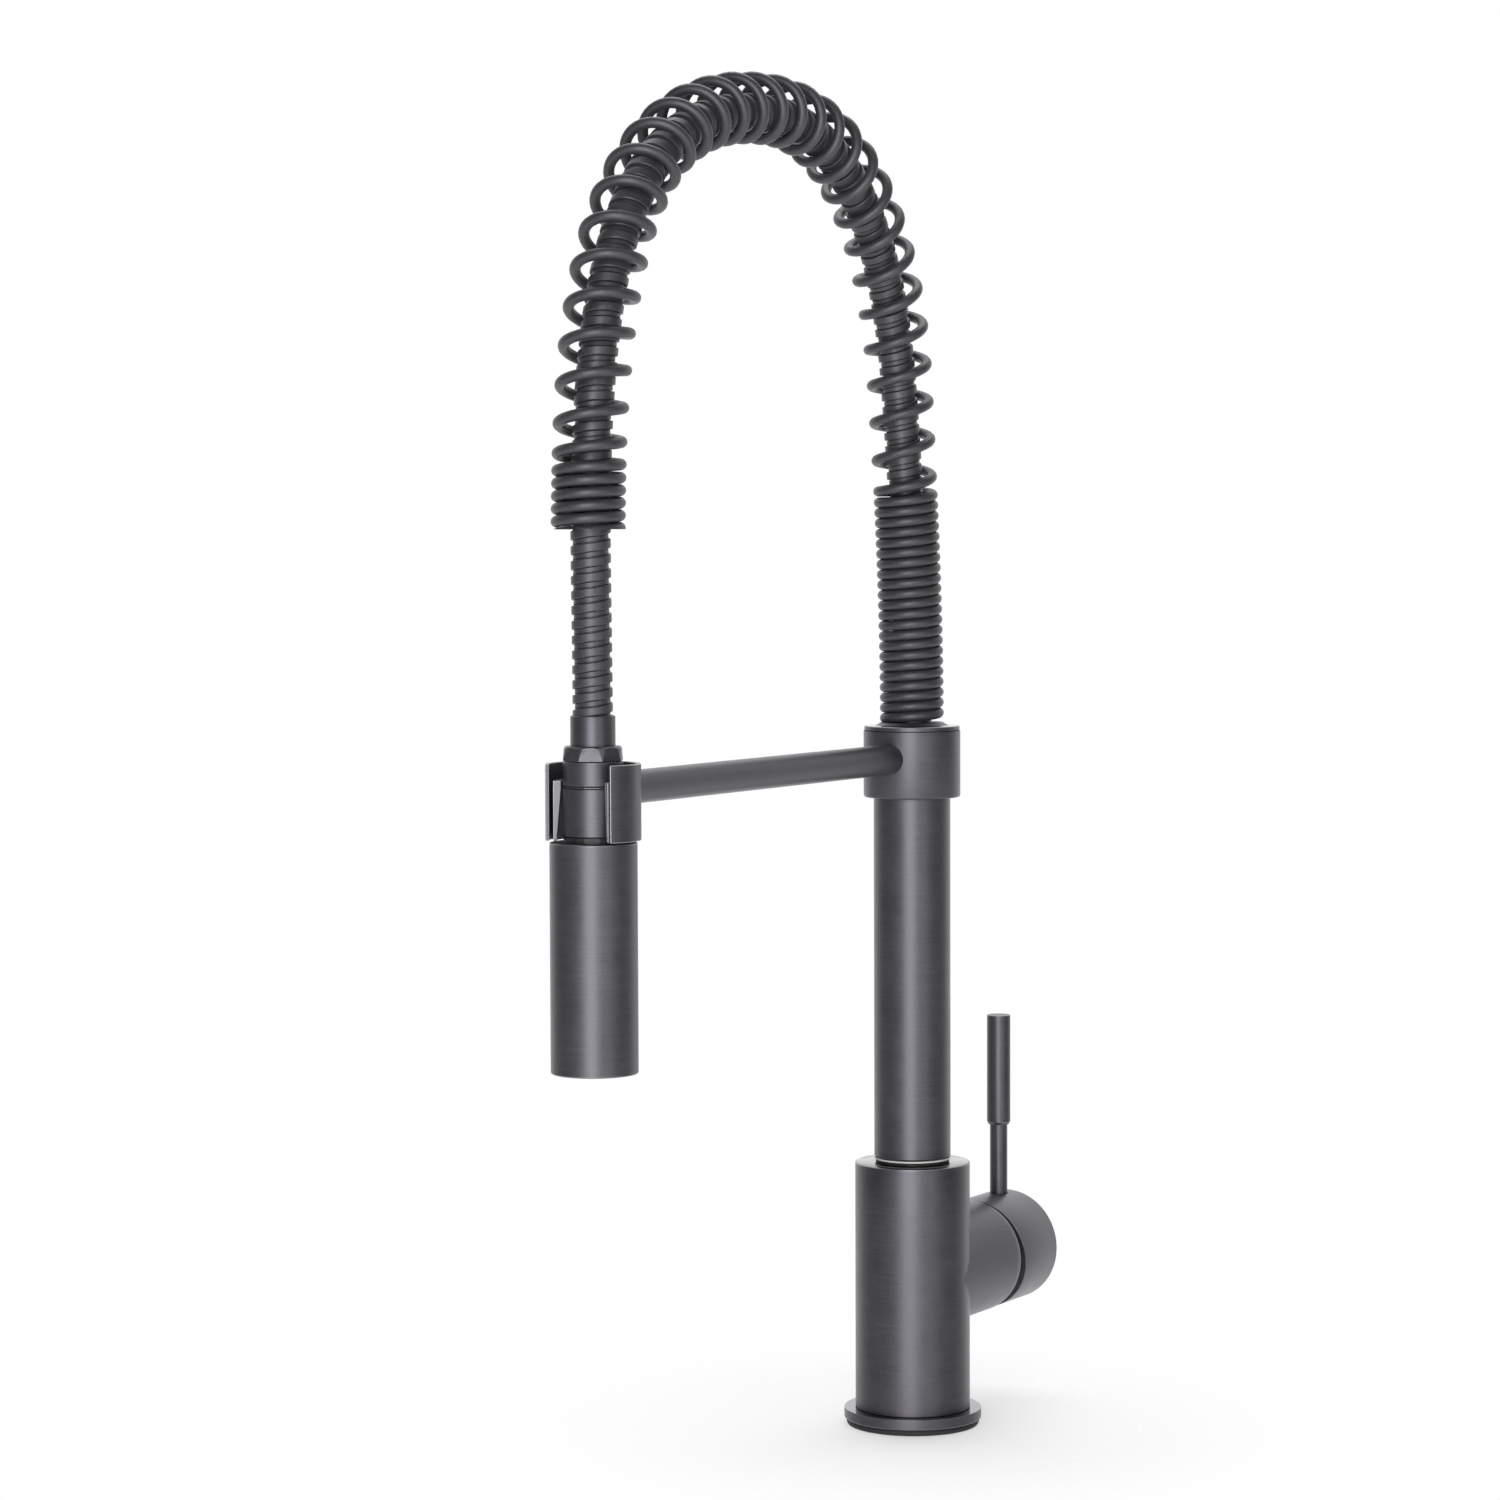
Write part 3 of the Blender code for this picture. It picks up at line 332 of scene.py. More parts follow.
FINE = (1800, 1800, 1800)
TURNED = (50, 50, 2600)
GRAINED = (
    ("rubber_black", (0.010, 0.010, 0.011), (0.022, 0.022, 0.024), (0.60, 0.85), 0.0, FINE, 0.3),
    ("plastic_black", (0.012, 0.012, 0.013), (0.022, 0.022, 0.024), (0.36, 0.52), 0.0, FINE, 0.2),
    # The satin plastic of the clip's liner is dark plastic painted a lighter grey: a painted
    # reflection.
    ("plastic_satin", (0.15, 0.152, 0.165), (0.19, 0.192, 0.207), (0.24, 0.34), 0.0, FINE, 0.06),
    ("plastic_natural", (0.66, 0.65, 0.62), (0.76, 0.75, 0.72), (0.38, 0.50), 0.0, FINE, 0.1),
    ("brass_machined", (0.52, 0.36, 0.15), (0.66, 0.49, 0.24), (0.22, 0.38), 1.0, TURNED, 0.12),
    ("steel_turned", (0.40, 0.40, 0.41), (0.56, 0.56, 0.57), (0.20, 0.34), 1.0, TURNED, 0.12),
)
rubber, plastic, satin_painted_reflection, natural, brass, steel = (
    grained(name, (*dark, 1), (*light, 1), *rest) for name, dark, light, *rest in GRAINED
)
for coat, nodes in (
    (brass, ("inlet_block", "cartridge_nut", "cartridge_stem", "stem_spigot", "hose_tail")),
    (steel, ("turret_pin", "handle_screw", "collar_screw", "clip_screw")),
    (steel, ("swivel_snap_ring", "aerator")),
    (natural, ("cartridge_body", "cartridge_turret", "barrel_core")),
    (rubber, ("swivel_o_ring_lower", "swivel_o_ring_upper")),
    (plastic, ("cartridge_shroud", "neck_washer", "spray_plate")),
    (coat_z, ("neck_ring",)),
):
    for node in nodes:
        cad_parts[node].data.materials[0] = coat
    print(coat.name, "on", ", ".join(nodes))


# %% [markdown]
# ## Turning on a lathe
# Most of the faucet is turned, so most pieces start as one ring of vertices. The ring is extruded
# along the axis and resized at each corner of the outline, as a lathe tool would step in and out.
# A tube's outline comes back to where it began and is merged shut, and a solid bar gets a face
# over each end. A Bevel modifier then breaks the sharp rims, with its narrow faces in a lighter
# finish: partly a rubbed coating, which thins first on an edge, and partly a painted highlight
# along each rim.

# %% Lathe helpers
SIDES = 128


def start():
    """Object mode with nothing selected."""
    if bpy.context.object and bpy.context.object.mode != "OBJECT":
        bpy.ops.object.mode_set(mode="OBJECT")
    bpy.ops.object.select_all(action="DESELECT")


def take(obj):
    """Select one piece alone, in object mode, and make it the active one."""
    start()
    obj.select_set(True)
    bpy.context.view_layer.objects.active = obj


def pull_ring(outline, centre):
    """Pull the selected ring of vertices along an outline of (radius, height) points."""
    radius, height = outline[0]
    for new_radius, new_height in outline[1:]:
        step = (0, 0, new_height - height)
        bpy.ops.mesh.extrude_region_move(TRANSFORM_OT_translate={"value": step})
        if abs(new_radius - radius) > 1e-9:
            scale = new_radius / radius
            middle = (centre[0], centre[1], new_height)
            bpy.ops.transform.resize(value=(scale, scale, 1), center_override=middle)
        radius, height = new_radius, new_height


def turned(name, outline, centre=(0, 0), sides=SIDES, spin=0.0):
    """A turned piece about an upright axis, from its outline of (radius, height) points."""
    start()
    radius, height = outline[0]
    hollow = outline[0] == outline[-1]
    bpy.ops.mesh.primitive_circle_add(
        vertices=sides,
        radius=radius,
        fill_type="NOTHING" if hollow else "NGON",
        location=(centre[0], centre[1], height),
        rotation=(0, 0, spin),
    )
    obj = bpy.context.object
    obj.name = name
    obj.data.name = name
    bpy.ops.object.mode_set(mode="EDIT")
    bpy.ops.mesh.select_all(action="SELECT")
    pull_ring(outline, centre)
    bpy.ops.mesh.select_all(action="SELECT")
    bpy.ops.mesh.remove_doubles(threshold=1e-6)
    bpy.ops.mesh.normals_make_consistent(inside=False)
    bpy.ops.object.mode_set(mode="OBJECT")
    bpy.ops.object.transform_apply(location=True, rotation=True, scale=True)
    return obj


def lay_down(obj, height):
    """Turn a piece made about the upright axis so that it points along +Y at a height."""
    take(obj)
    obj.rotation_euler = (-math.pi / 2, 0, 0)
    obj.location = (0, 0, height)
    bpy.ops.object.transform_apply(location=True, rotation=True, scale=True)


def soften(obj, width, segments=3, angle=28):
    """Round the sharp rims of a piece with a Bevel modifier, and apply it."""
    take(obj)
    bevel = obj.modifiers.new("rims", "BEVEL")
    bevel.width = width
    bevel.segments = segments
    bevel.limit_method = "ANGLE"
    bevel.angle_limit = math.radians(angle)
    bevel.harden_normals = True
    # The bevel's narrow faces take the piece's second coat, a lighter one that paints a highlight
    # along each rim.
    if len(obj.data.materials) > 1:
        bevel.material = 1
    bpy.ops.object.modifier_apply(modifier=bevel.name)


def combine(obj, tool, operation):
    """Join or cut a piece with another one, which is used up."""
    take(obj)
    step = obj.modifiers.new("combine", "BOOLEAN")
    step.operation = operation
    step.solver = "EXACT"
    step.object = tool
    bpy.ops.object.modifier_apply(modifier=step.name)
    bpy.data.objects.remove(tool, do_unlink=True)


# %% Finish helpers
def finish(obj, body, nodes, coat, edge=None, bevel=0.0, segments=3, angle=28):
    """Give a piece its finish, its rounded rims and its body, and hide the CAD nodes that it stands
    for.
    """
    obj.data.materials.clear()
    obj.data.materials.append(coat)
    if edge:
        obj.data.materials.append(edge)
    take(obj)
    bpy.ops.object.shade_smooth_by_angle(angle=math.radians(angle))
    if bevel:
        soften(obj, bevel, segments, angle)
    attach(obj, body)
    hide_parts(*nodes)
    size = [round(s / MM, 1) for s in obj.dimensions]
    print(f"{obj.name}: {len(obj.data.polygons)} faces, {size} mm")
    return obj


def face_top(obj, height):
    """Give the level top of a piece the finer finish of a faced-off end, and paint its rim lighter:
    rubbed coating and a painted highlight.
    """
    obj.data.materials.append(coat_top)
    obj.data.materials.append(worn_and_painted_highlight)
    last = len(obj.data.materials) - 1
    for face in obj.data.polygons:
        if height - 0.9 * MM < face.center.z < height + 0.1 * MM:
            if face.normal.z > 0.95:
                face.material_index = last - 1
            # The sloped rim faces take the lighter edge coat: rubbed coating and a painted
            # highlight.
            elif face.normal.z > 0.2:
                face.material_index = last


# %% [markdown]
# ## Deck gasket and flange
# A soft rubber ring seals the base to the deck, and a thin turned flange hides it. The gasket is
# pressed a little flat, so its edge bulges. The flange's top corner is broken well, and it catches
# a bright line all round.

# %% Gasket
low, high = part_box("base_gasket")
gasket_r = high.x
GASKET_BORE = 17.6 * MM
bulge = 0.5 * MM
gasket = turned(
    "deck_gasket",
    [
        (GASKET_BORE, low.z),
        (gasket_r - bulge, low.z),
        (gasket_r - 0.15 * MM, low.z + 0.6 * MM),
        (gasket_r, low.z + 1.2 * MM),
        (gasket_r - 0.15 * MM, high.z - 0.5 * MM),
        (gasket_r - bulge, high.z),
        (GASKET_BORE, high.z),
        (GASKET_BORE, low.z),
    ],
)
finish(gasket, "base", ["base_gasket"], rubber, angle=40)

# %% Flange
low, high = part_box("base_flange")
FLANGE_BORE = 19.9 * MM
flange_top = high.z
flange = turned(
    "deck_flange",
    [
        (FLANGE_BORE, low.z),
        (high.x - 0.2 * MM, low.z),
        (high.x, low.z + 0.3 * MM),
        (high.x, high.z),
        (FLANGE_BORE, high.z),
        (FLANGE_BORE, low.z),
    ],
)
finish(flange, "base", ["base_flange"], coat_z, worn_and_painted_highlight, 0.55 * MM, 4)
face_top(flange, flange_top)

# %% [markdown]
# ## Body and valve branch
# The body is one casting: an upright cylinder, and a branch of the same bore that leaves it
# sideways for the mixing cartridge. Two turned cylinders are joined by a Boolean union, which
# gives the saddle-shaped line where they meet. The column's bore takes the swivel and the
# branch's bore takes the cartridge, so both are cut open afterwards.

# %% Body
VALVE_Z = 62.5 * MM
low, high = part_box("faucet_body")
body_r = high.x
body_top = high.z
branch_end = high.y
INNER_R = 15 * MM
body_low = flange_top + 0.3 * MM
edge_break = 0.5 * MM
body = turned(
    "body_casting",
    [
        (INNER_R, body_low),
        (body_r, body_low),
        *[(body_r, VALVE_Z + step * 4 * MM) for step in range(-7, 8)],
        (body_r, body_top - edge_break),
        (body_r - 0.3 * edge_break, body_top - 0.3 * edge_break),
        (body_r - edge_break, body_top),
        (INNER_R, body_top),
    ],
)
branch = turned(
    "branch_tool",
    [
        (10 * MM, 2 * MM),
        *[(body_r, 2 * MM + step * 3 * MM) for step in range(17)],
        (body_r, branch_end - 0.4 * MM),
        (body_r - 0.12 * MM, branch_end - 0.12 * MM),
        (body_r - 0.4 * MM, branch_end),
        (10 * MM, branch_end),
    ],
)
lay_down(branch, VALVE_Z)
combine(body, branch, "UNION")
bore = turned("bore_tool", [(12.3 * MM, 84 * MM), (12.3 * MM, body_top + MM)], sides=64)
combine(body, bore, "DIFFERENCE")
socket = turned("socket_tool", [(19.6 * MM, 13 * MM), (19.6 * MM, branch_end + MM)], sides=64)
lay_down(socket, VALVE_Z)
combine(body, socket, "DIFFERENCE")
finish(body, "base", ["faucet_body"], coat_z, angle=24)
face_top(body, body_top)

# %% [markdown]
# ## Handle cap
# A turned cup covers the cartridge. It tips on the valve to open the water, so its open rim is cut
# on a slant that leaves a wedge of shadow toward the branch. The cup is turned first, and then the
# rim is cut with a bisect plane, as a saw would do it.

# %% Cap
low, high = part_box("handle_cap")
cap_r = high.x
cap_end = high.y
cap_start = low.y
CAP_WEDGE = math.radians(9.0)
cap = turned(
    "handle_cup",
    [
        (18 * MM, 84 * MM),
        (18 * MM, 66 * MM),
        (20.5 * MM, 66 * MM),
        (20.5 * MM, cap_start - MM),
        (cap_r, cap_start - MM),
        (cap_r, cap_end - 0.7 * MM),
        (cap_r - 0.2 * MM, cap_end - 0.2 * MM),
        (cap_r - 0.7 * MM, cap_end),
    ],
)
lay_down(cap, VALVE_Z)


def saw_off(obj, point, normal):
    """Saw a cup with a plane, drop what lies behind the plane, and bridge the cut wall."""
    take(obj)
    bpy.ops.object.mode_set(mode="EDIT")
    bpy.ops.mesh.select_all(action="SELECT")
    bpy.ops.mesh.bisect(plane_co=point, plane_no=normal, clear_inner=True, threshold=1e-7)
    bpy.ops.mesh.select_all(action="DESELECT")
    bpy.ops.mesh.select_mode(type="EDGE")
    bpy.ops.mesh.select_non_manifold()
    bpy.ops.mesh.bridge_edge_loops()
    bpy.ops.object.mode_set(mode="OBJECT")


slant = (0, math.cos(CAP_WEDGE), math.sin(CAP_WEDGE))
saw_off(cap, (0, cap_start, VALVE_Z + cap_r), slant)
rod_low, rod_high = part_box("lever_rod")
LEVER_Y = (rod_low.y + rod_high.y) / 2
for hole_r, from_z, to_z, hole_y, sides in (
    (4.1 * MM, 15 * MM, 27 * MM, LEVER_Y, 48),
    (2.2 * MM, -27 * MM, -5 * MM, 72 * MM, 40),
):
    outline = [(hole_r, VALVE_Z + from_z), (hole_r, VALVE_Z + to_z)]
    combine(cap, turned("hole_tool", outline, (0, hole_y), sides), "DIFFERENCE")
finish(cap, "handle", ["handle_cap"], coat_y, worn_and_painted_highlight, 0.25 * MM, 3, 24)

# %% [markdown]
# ## Lever
# The lever is a thin turned pin with a thicker sleeve on its upper half. The sleeve's lower end is
# chamfered toward the pin and its top is broken with a small round.

# %% Lever
lever_centre = (0, LEVER_Y)
grip_low, grip_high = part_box("lever_grip")
pin_r = rod_high.x
pin_outline = [(pin_r, rod_low.z), (pin_r, grip_low.z + 2 * MM)]
lever = turned("lever_pin", pin_outline, lever_centre, 64)
finish(lever, "handle", ["lever_rod"], coat_z, angle=40)
grip_r = grip_high.x
grip = turned(
    "lever_sleeve",
    [
        (4.0 * MM, grip_low.z + 0.5 * MM),
        (grip_r - 0.7 * MM, grip_low.z),
        (grip_r, grip_low.z + 1.3 * MM),
        (grip_r, grip_high.z - 0.2 * MM),
        (grip_r - 0.2 * MM, grip_high.z),
    ],
    lever_centre,
    64,
)
finish(grip, "handle", ["lever_grip"], coat_z, worn_and_painted_highlight, 0.25 * MM, 3)

# %% [markdown]
# ## Column
# The column is a drawn tube that turns on the body. A collar clamps round its top and holds the
# docking arm, and the plate above the collar is the foot of the support spring. The plate rises
# in a low cone to a nozzle that the spring is wound over.

# %% Swivel seal
low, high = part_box("swivel_washer")
SEAL_BORE = 12.3 * MM
SEAL_WAIST = 15.4 * MM
lip = high.z - 0.6 * MM
seal = turned(
    "swivel_seal",
    [
        (SEAL_BORE, low.z),
        (SEAL_WAIST, low.z),
        (SEAL_WAIST, lip),
        (high.x, lip),
        (high.x, high.z),
        (SEAL_BORE, high.z),
        (SEAL_BORE, low.z),
    ],
)
finish(seal, "base", ["swivel_washer"], rubber, natural)
for face in seal.data.polygons:
    face.material_index = 1 if face.center.z > lip + 0.05 * MM else 0

# %% Tube
low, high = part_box("stem_tube")
tube_r = high.x
TUBE_WALL = 1.8 * MM
tube = turned(
    "column_tube",
    [
        (tube_r - TUBE_WALL, low.z),
        (tube_r - 0.5 * MM, low.z),
        (tube_r, low.z + 0.5 * MM),
        (tube_r, high.z),
        (tube_r - TUBE_WALL, high.z),
        (tube_r - TUBE_WALL, low.z),
    ],
)
finish(tube, "spout", ["stem_tube"], coat_z, worn_and_painted_highlight, 0.2 * MM, 2)

# %% Collar
low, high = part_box("arm_collar")
collar_r = high.x
collar_bore = tube_r + 0.3 * MM
collar_low = low.z
collar_top = high.z
collar = turned(
    "column_collar",
    [
        (collar_bore, collar_low),
        (collar_r - 1.0 * MM, collar_low),
        (collar_r - 0.3 * MM, collar_low + 0.3 * MM),
        (collar_r, collar_low + 1.0 * MM),
        (collar_r, collar_top),
        (collar_bore, collar_top),
        (collar_bore, collar_low),
    ],
)
screw_low, screw_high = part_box("collar_screw")
screw_z = (screw_low.z + screw_high.z) / 2
screw_bore = turned("screw_bore_tool", [(2.7 * MM, 14 * MM), (2.7 * MM, 24 * MM)], sides=40)
lay_down(screw_bore, screw_z)
combine(collar, screw_bore, "DIFFERENCE")
finish(collar, "spout", ["arm_collar"], coat_z, worn_and_painted_highlight, 0.25 * MM, 3, 24)

# %% Spring foot
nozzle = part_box("spring_seat")[1]
seat_r = nozzle.x
seat_low = collar_top + 0.3 * MM
seat_top = collar_top + 2.1 * MM
NOZZLE_BORE = 7.65 * MM
NOZZLE_R = 8.2 * MM
foot = turned(
    "spring_foot",
    [
        (NOZZLE_BORE, seat_low),
        (seat_r, seat_low),
        (seat_r, seat_top - 0.3 * MM),
        (seat_r - 0.4 * MM, seat_top),
        (15.4 * MM, seat_top + 0.05 * MM),
        (14.5 * MM, seat_top + 0.35 * MM),
        (13.9 * MM, seat_top + 0.8 * MM),
        (13.1 * MM, seat_top + 1.4 * MM),
        (NOZZLE_R, seat_top + 1.4 * MM),
        (NOZZLE_R, nozzle.z),
        (NOZZLE_BORE, nozzle.z),
        (NOZZLE_BORE, seat_low),
    ],
)
finish(foot, "spout", ["spring_seat"], coat_z, worn_and_painted_highlight, 0.12 * MM, 2)
face_top(foot, seat_top)

# %% [markdown]
# ## Docking arm
# A round bar runs level from the collar to the clip. Its ends are cut to the curves that they
# meet, as a fitter copes a tube, with two Boolean cuts.

# %% Arm
low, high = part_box("docking_arm")
arm_r = high.x
ARM_Z = (low.z + high.z) / 2
head_low, head_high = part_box("hose_ferrule")
HEAD_Y = (head_low.y + head_high.y) / 2
clip_low, clip_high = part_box("clip_ring")
clip_r = (clip_high.x - clip_low.x) / 2
ARM_START, ARM_END = -16 * MM, -230 * MM
start()
bpy.ops.mesh.primitive_cylinder_add(
    vertices=96,
    radius=arm_r,
    depth=ARM_START - ARM_END,
    location=(0, (ARM_START + ARM_END) / 2, ARM_Z),
    rotation=(math.pi / 2, 0, 0),
)
arm = bpy.context.object
arm.name = "docking_bar"
bpy.ops.object.transform_apply(location=True, rotation=True, scale=True)
for met_r, met_y in ((collar_r, 0.0), (clip_r, HEAD_Y)):
    tool_r = met_r + 0.05 * MM
    tool = turned("cope_tool", [(tool_r, ARM_Z - 30 * MM), (tool_r, ARM_Z + 30 * MM)], (0, met_y))
    combine(arm, tool, "DIFFERENCE")
finish(arm, "spout", ["docking_arm"], coat_y, angle=30)

# %% [markdown]
# ## Docking clip
# The clip is a short tube with a wide mouth toward the front. The spray head drops into it and the
# hose leaves through the mouth. A dark plastic liner sits inside, thicker at its top, so the neck
# wedges gently as it comes down. The rims of both carry a pale painted highlight, and the liner is
# painted a lighter grey than its dark plastic, a painted reflection.

# %% Clip
CLIP_WALL = 1.5 * MM
head = (0, HEAD_Y)
HALF_MOUTH = math.radians(53.5)
MOUTH_REACH = 30 * MM
MOUTH_Z = 280 * MM


def open_mouth(obj):
    """Cut a wedge-shaped mouth toward -Y: a block, squeezed to an edge on the head's axis."""
    start()
    width = 2 * MOUTH_REACH * math.tan(HALF_MOUTH)
    bpy.ops.mesh.primitive_cube_add(
        size=1,
        location=(0, HEAD_Y - MOUTH_REACH / 2, MOUTH_Z),
        scale=(width, MOUTH_REACH, 60 * MM),
    )
    tool = bpy.context.object
    bpy.ops.object.mode_set(mode="EDIT")
    bpy.ops.mesh.select_all(action="DESELECT")
    bpy.ops.object.mode_set(mode="OBJECT")
    for vert in tool.data.vertices:
        vert.select = vert.co.y > 0
    bpy.ops.object.mode_set(mode="EDIT")
    bpy.ops.transform.resize(value=(0.0001, 1, 1), center_override=(0, HEAD_Y, MOUTH_Z))
    bpy.ops.mesh.remove_doubles(threshold=1e-5)
    bpy.ops.mesh.select_all(action="SELECT")
    bpy.ops.mesh.normals_make_consistent(inside=False)
    bpy.ops.object.mode_set(mode="OBJECT")
    bpy.ops.object.transform_apply(location=True, rotation=True, scale=True)
    combine(obj, tool, "DIFFERENCE")


clip = turned(
    "docking_clip",
    [
        (clip_r - CLIP_WALL, clip_low.z),
        (clip_r, clip_low.z),
        (clip_r, clip_high.z),
        (clip_r - CLIP_WALL, clip_high.z),
        (clip_r - CLIP_WALL, clip_low.z),
    ],
    head,
)
open_mouth(clip)
# The clip's rims take the pale coat: a painted highlight along the jaws.
finish(clip, "spout", ["clip_ring"], coat_z, glint, 0.3 * MM, 3, 30)

# %% Liner
low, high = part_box("clip_liner")
neck_r = 11.1 * MM
liner_r = clip_r - CLIP_WALL - 1.35 * MM
liner_foot_r = liner_r - 1.3 * MM
liner_bore = neck_r + 0.7 * MM
liner = turned(
    "clip_lining",
    [
        (liner_foot_r, low.z),
        (liner_r, low.z),
        (liner_r, high.z),
        (liner_bore, high.z),
        (liner_bore, high.z - 3 * MM),
        (liner_foot_r, low.z),
    ],
    head,
)
open_mouth(liner)
# The liner is painted a lighter grey, a painted reflection, and its rims take the painted
# highlight.
finish(liner, "spout", ["clip_liner"], satin_painted_reflection, glint, 0.25 * MM, 2, 30)

# %% [markdown]
# ## Spray head
# Under the clip hangs a plain turned barrel. Its neck, a thin bright ring and the swivel coupling
# stand above it, and an eight-sided nut with a turned chamfer clamps the hose's ferrule.

# %% Barrel
low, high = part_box("spray_barrel")
barrel_r = high.x
BARREL_BORE = 14.3 * MM
SHOULDER_BORE = 10.2 * MM
shoulder_low = high.z - 3.2 * MM
barrel = turned(
    "head_barrel",
    [
        (BARREL_BORE, low.z),
        (barrel_r, low.z),
        (barrel_r, high.z),
        (SHOULDER_BORE, high.z),
        (SHOULDER_BORE, shoulder_low),
        (BARREL_BORE, shoulder_low),
        (BARREL_BORE, low.z),
    ],
    head,
)
finish(barrel, "spray_head", ["spray_barrel"], coat_z, worn_and_painted_highlight, 0.6 * MM, 4, 30)

# %% Neck
low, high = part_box("spray_neck")
NECK_BORE = 7.4 * MM
neck_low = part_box("neck_washer")[1].z + 0.3 * MM
throat_low = neck_low - 6 * MM
throat_r = neck_r - 1.2 * MM
neck = turned(
    "head_neck",
    [
        (NECK_BORE, throat_low),
        (throat_r, throat_low),
        (throat_r, neck_low),
        (neck_r, neck_low),
        (neck_r, high.z),
        (NECK_BORE, high.z),
        (NECK_BORE, throat_low),
    ],
    head,
)
finish(neck, "spray_head", ["spray_neck"], coat_z, worn_and_painted_highlight, 0.25 * MM, 3)

# %% Coupling
low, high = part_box("swivel_coupling")
COUPLING_BORE = 3.5 * MM
SPIGOT_R = 7.0 * MM
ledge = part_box("neck_ring")[1].z + 0.3 * MM
coupling = turned(
    "hose_coupling",
    [
        (COUPLING_BORE, low.z),
        (SPIGOT_R, low.z),
        (SPIGOT_R, ledge),
        (neck_r, ledge),
        (neck_r, high.z),
        (COUPLING_BORE, high.z),
        (COUPLING_BORE, low.z),
    ],
    head,
)
finish(coupling, "hose_end", ["swivel_coupling"], coat_z, worn_and_painted_highlight, 0.2 * MM, 2)

# %% Ferrule
low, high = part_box("hose_ferrule")
FERRULE_BORE = 7.5 * MM
ferrule_low = low.z - 0.3 * MM
ferrule_r = high.x
ferrule = turned(
    "hose_sleeve",
    [
        (FERRULE_BORE, ferrule_low),
        (ferrule_r, ferrule_low),
        (ferrule_r, high.z - 0.7 * MM),
        (ferrule_r - 0.2 * MM, high.z - 0.2 * MM),
        (ferrule_r - 0.7 * MM, high.z),
        (FERRULE_BORE, high.z),
        (FERRULE_BORE, ferrule_low),
    ],
    head,
)
finish(ferrule, "hose_end", ["hose_ferrule"], coat_z, worn_and_painted_highlight, 0.2 * MM, 2)

# %% Nut
low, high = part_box("hose_nut")
NUT_TURN = math.radians(-39.9)
nut_r = neck_r + 0.45 * MM
nut = turned("hose_clamp_nut", [(nut_r, low.z), (nut_r - 0.3 * MM, high.z)], head, 8, NUT_TURN)
crown = turned(
    "crown_tool",
    [
        (nut_r - 0.12 * MM, low.z - MM),
        (nut_r - 0.12 * MM, low.z + 0.6 * MM),
        (nut_r - 0.75 * MM, high.z - 0.7 * MM),
        (nut_r - 1.5 * MM, high.z + 0.02 * MM),
    ],
    head,
)
combine(nut, crown, "INTERSECT")
finish(nut, "hose_end", ["hose_nut"], coat_z, worn_and_painted_highlight, 0.15 * MM, 2, 20)

# %% [markdown]
# ## The arch
# One curve carries both the hose and the spring. It rises straight out of the column, leans a
# little inward, turns over the top and comes straight down into the spray head. Four Bezier
# pieces hold that shape. The curve is measured once, so a piece can be placed by its distance
# along the hose, as the real one is wound.

# %% Centreline
REACH = -HEAD_Y
FERRULE_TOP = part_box("hose_ferrule")[1].z
SHOULDER_LEAN = 0.106
HEAD_SIDE_LEAN = -0.034


def leaning(point, lean, length):
    """A point farther along a line through point that leans from the upright."""
    return Vector((point[0] + length * math.sin(lean), point[1] + length * math.cos(lean)))


FOOT = Vector((0.0, seat_top))
SHOULDER = Vector((9.7 * MM, seat_top + 138.5 * MM))
APEX = Vector((0.47 * REACH, seat_top + 245.3 * MM))
HEAD_SIDE = Vector((REACH + 0.4 * MM, ARM_Z + 119.5 * MM))
TIP = Vector((REACH, FERRULE_TOP))
up = Vector((0, 1)) * MM
out = Vector((1, 0)) * MM
# each piece: its start, its two handles and its end
PIECES = [
    (FOOT, FOOT + 53.6 * up, leaning(SHOULDER, SHOULDER_LEAN, -32.9 * MM), SHOULDER),
    (SHOULDER, leaning(SHOULDER, SHOULDER_LEAN, 79.2 * MM), APEX - 45.3 * out, APEX),
    (APEX, APEX + 89.5 * out, leaning(HEAD_SIDE, HEAD_SIDE_LEAN, 93.6 * MM), HEAD_SIDE),
    (HEAD_SIDE, leaning(HEAD_SIDE, HEAD_SIDE_LEAN, -31.5 * MM), TIP + 30 * up, TIP),
]
line = []
for piece in PIECES:
    line += interpolate_bezier(*piece, 400)[:-1]
line.append(TIP)
lengths = [0.0]
for before, after in zip(line, line[1:]):
    lengths.append(lengths[-1] + (after - before).length)
print("hose above the collar:", round(lengths[-1] / MM), "mm")


def along(distance):
    """The point and direction of the arch at a distance from the collar."""
    place = bisect.bisect_right(lengths, distance) - 1
    place = min(max(place, 0), len(line) - 2)
    share = (distance - lengths[place]) / (lengths[place + 1] - lengths[place])
    return line[place].lerp(line[place + 1], share), (line[place + 1] - line[place]).normalized()


# %% [markdown]
# ## Support spring
# The spring is one round wire. It is wound tight on the column, opens over the arch, and closes
# again above the head, where its end is ground flat. The wire's path is worked out turn by turn:
# so many closed turns, a quick opening, a slow closing. The open pitch isn't chosen but solved,
# so that the last turn ends where the real one does. A bevelled curve gives the wire its round
# section, which stays round in the bend, where a bent straight coil would flatten.

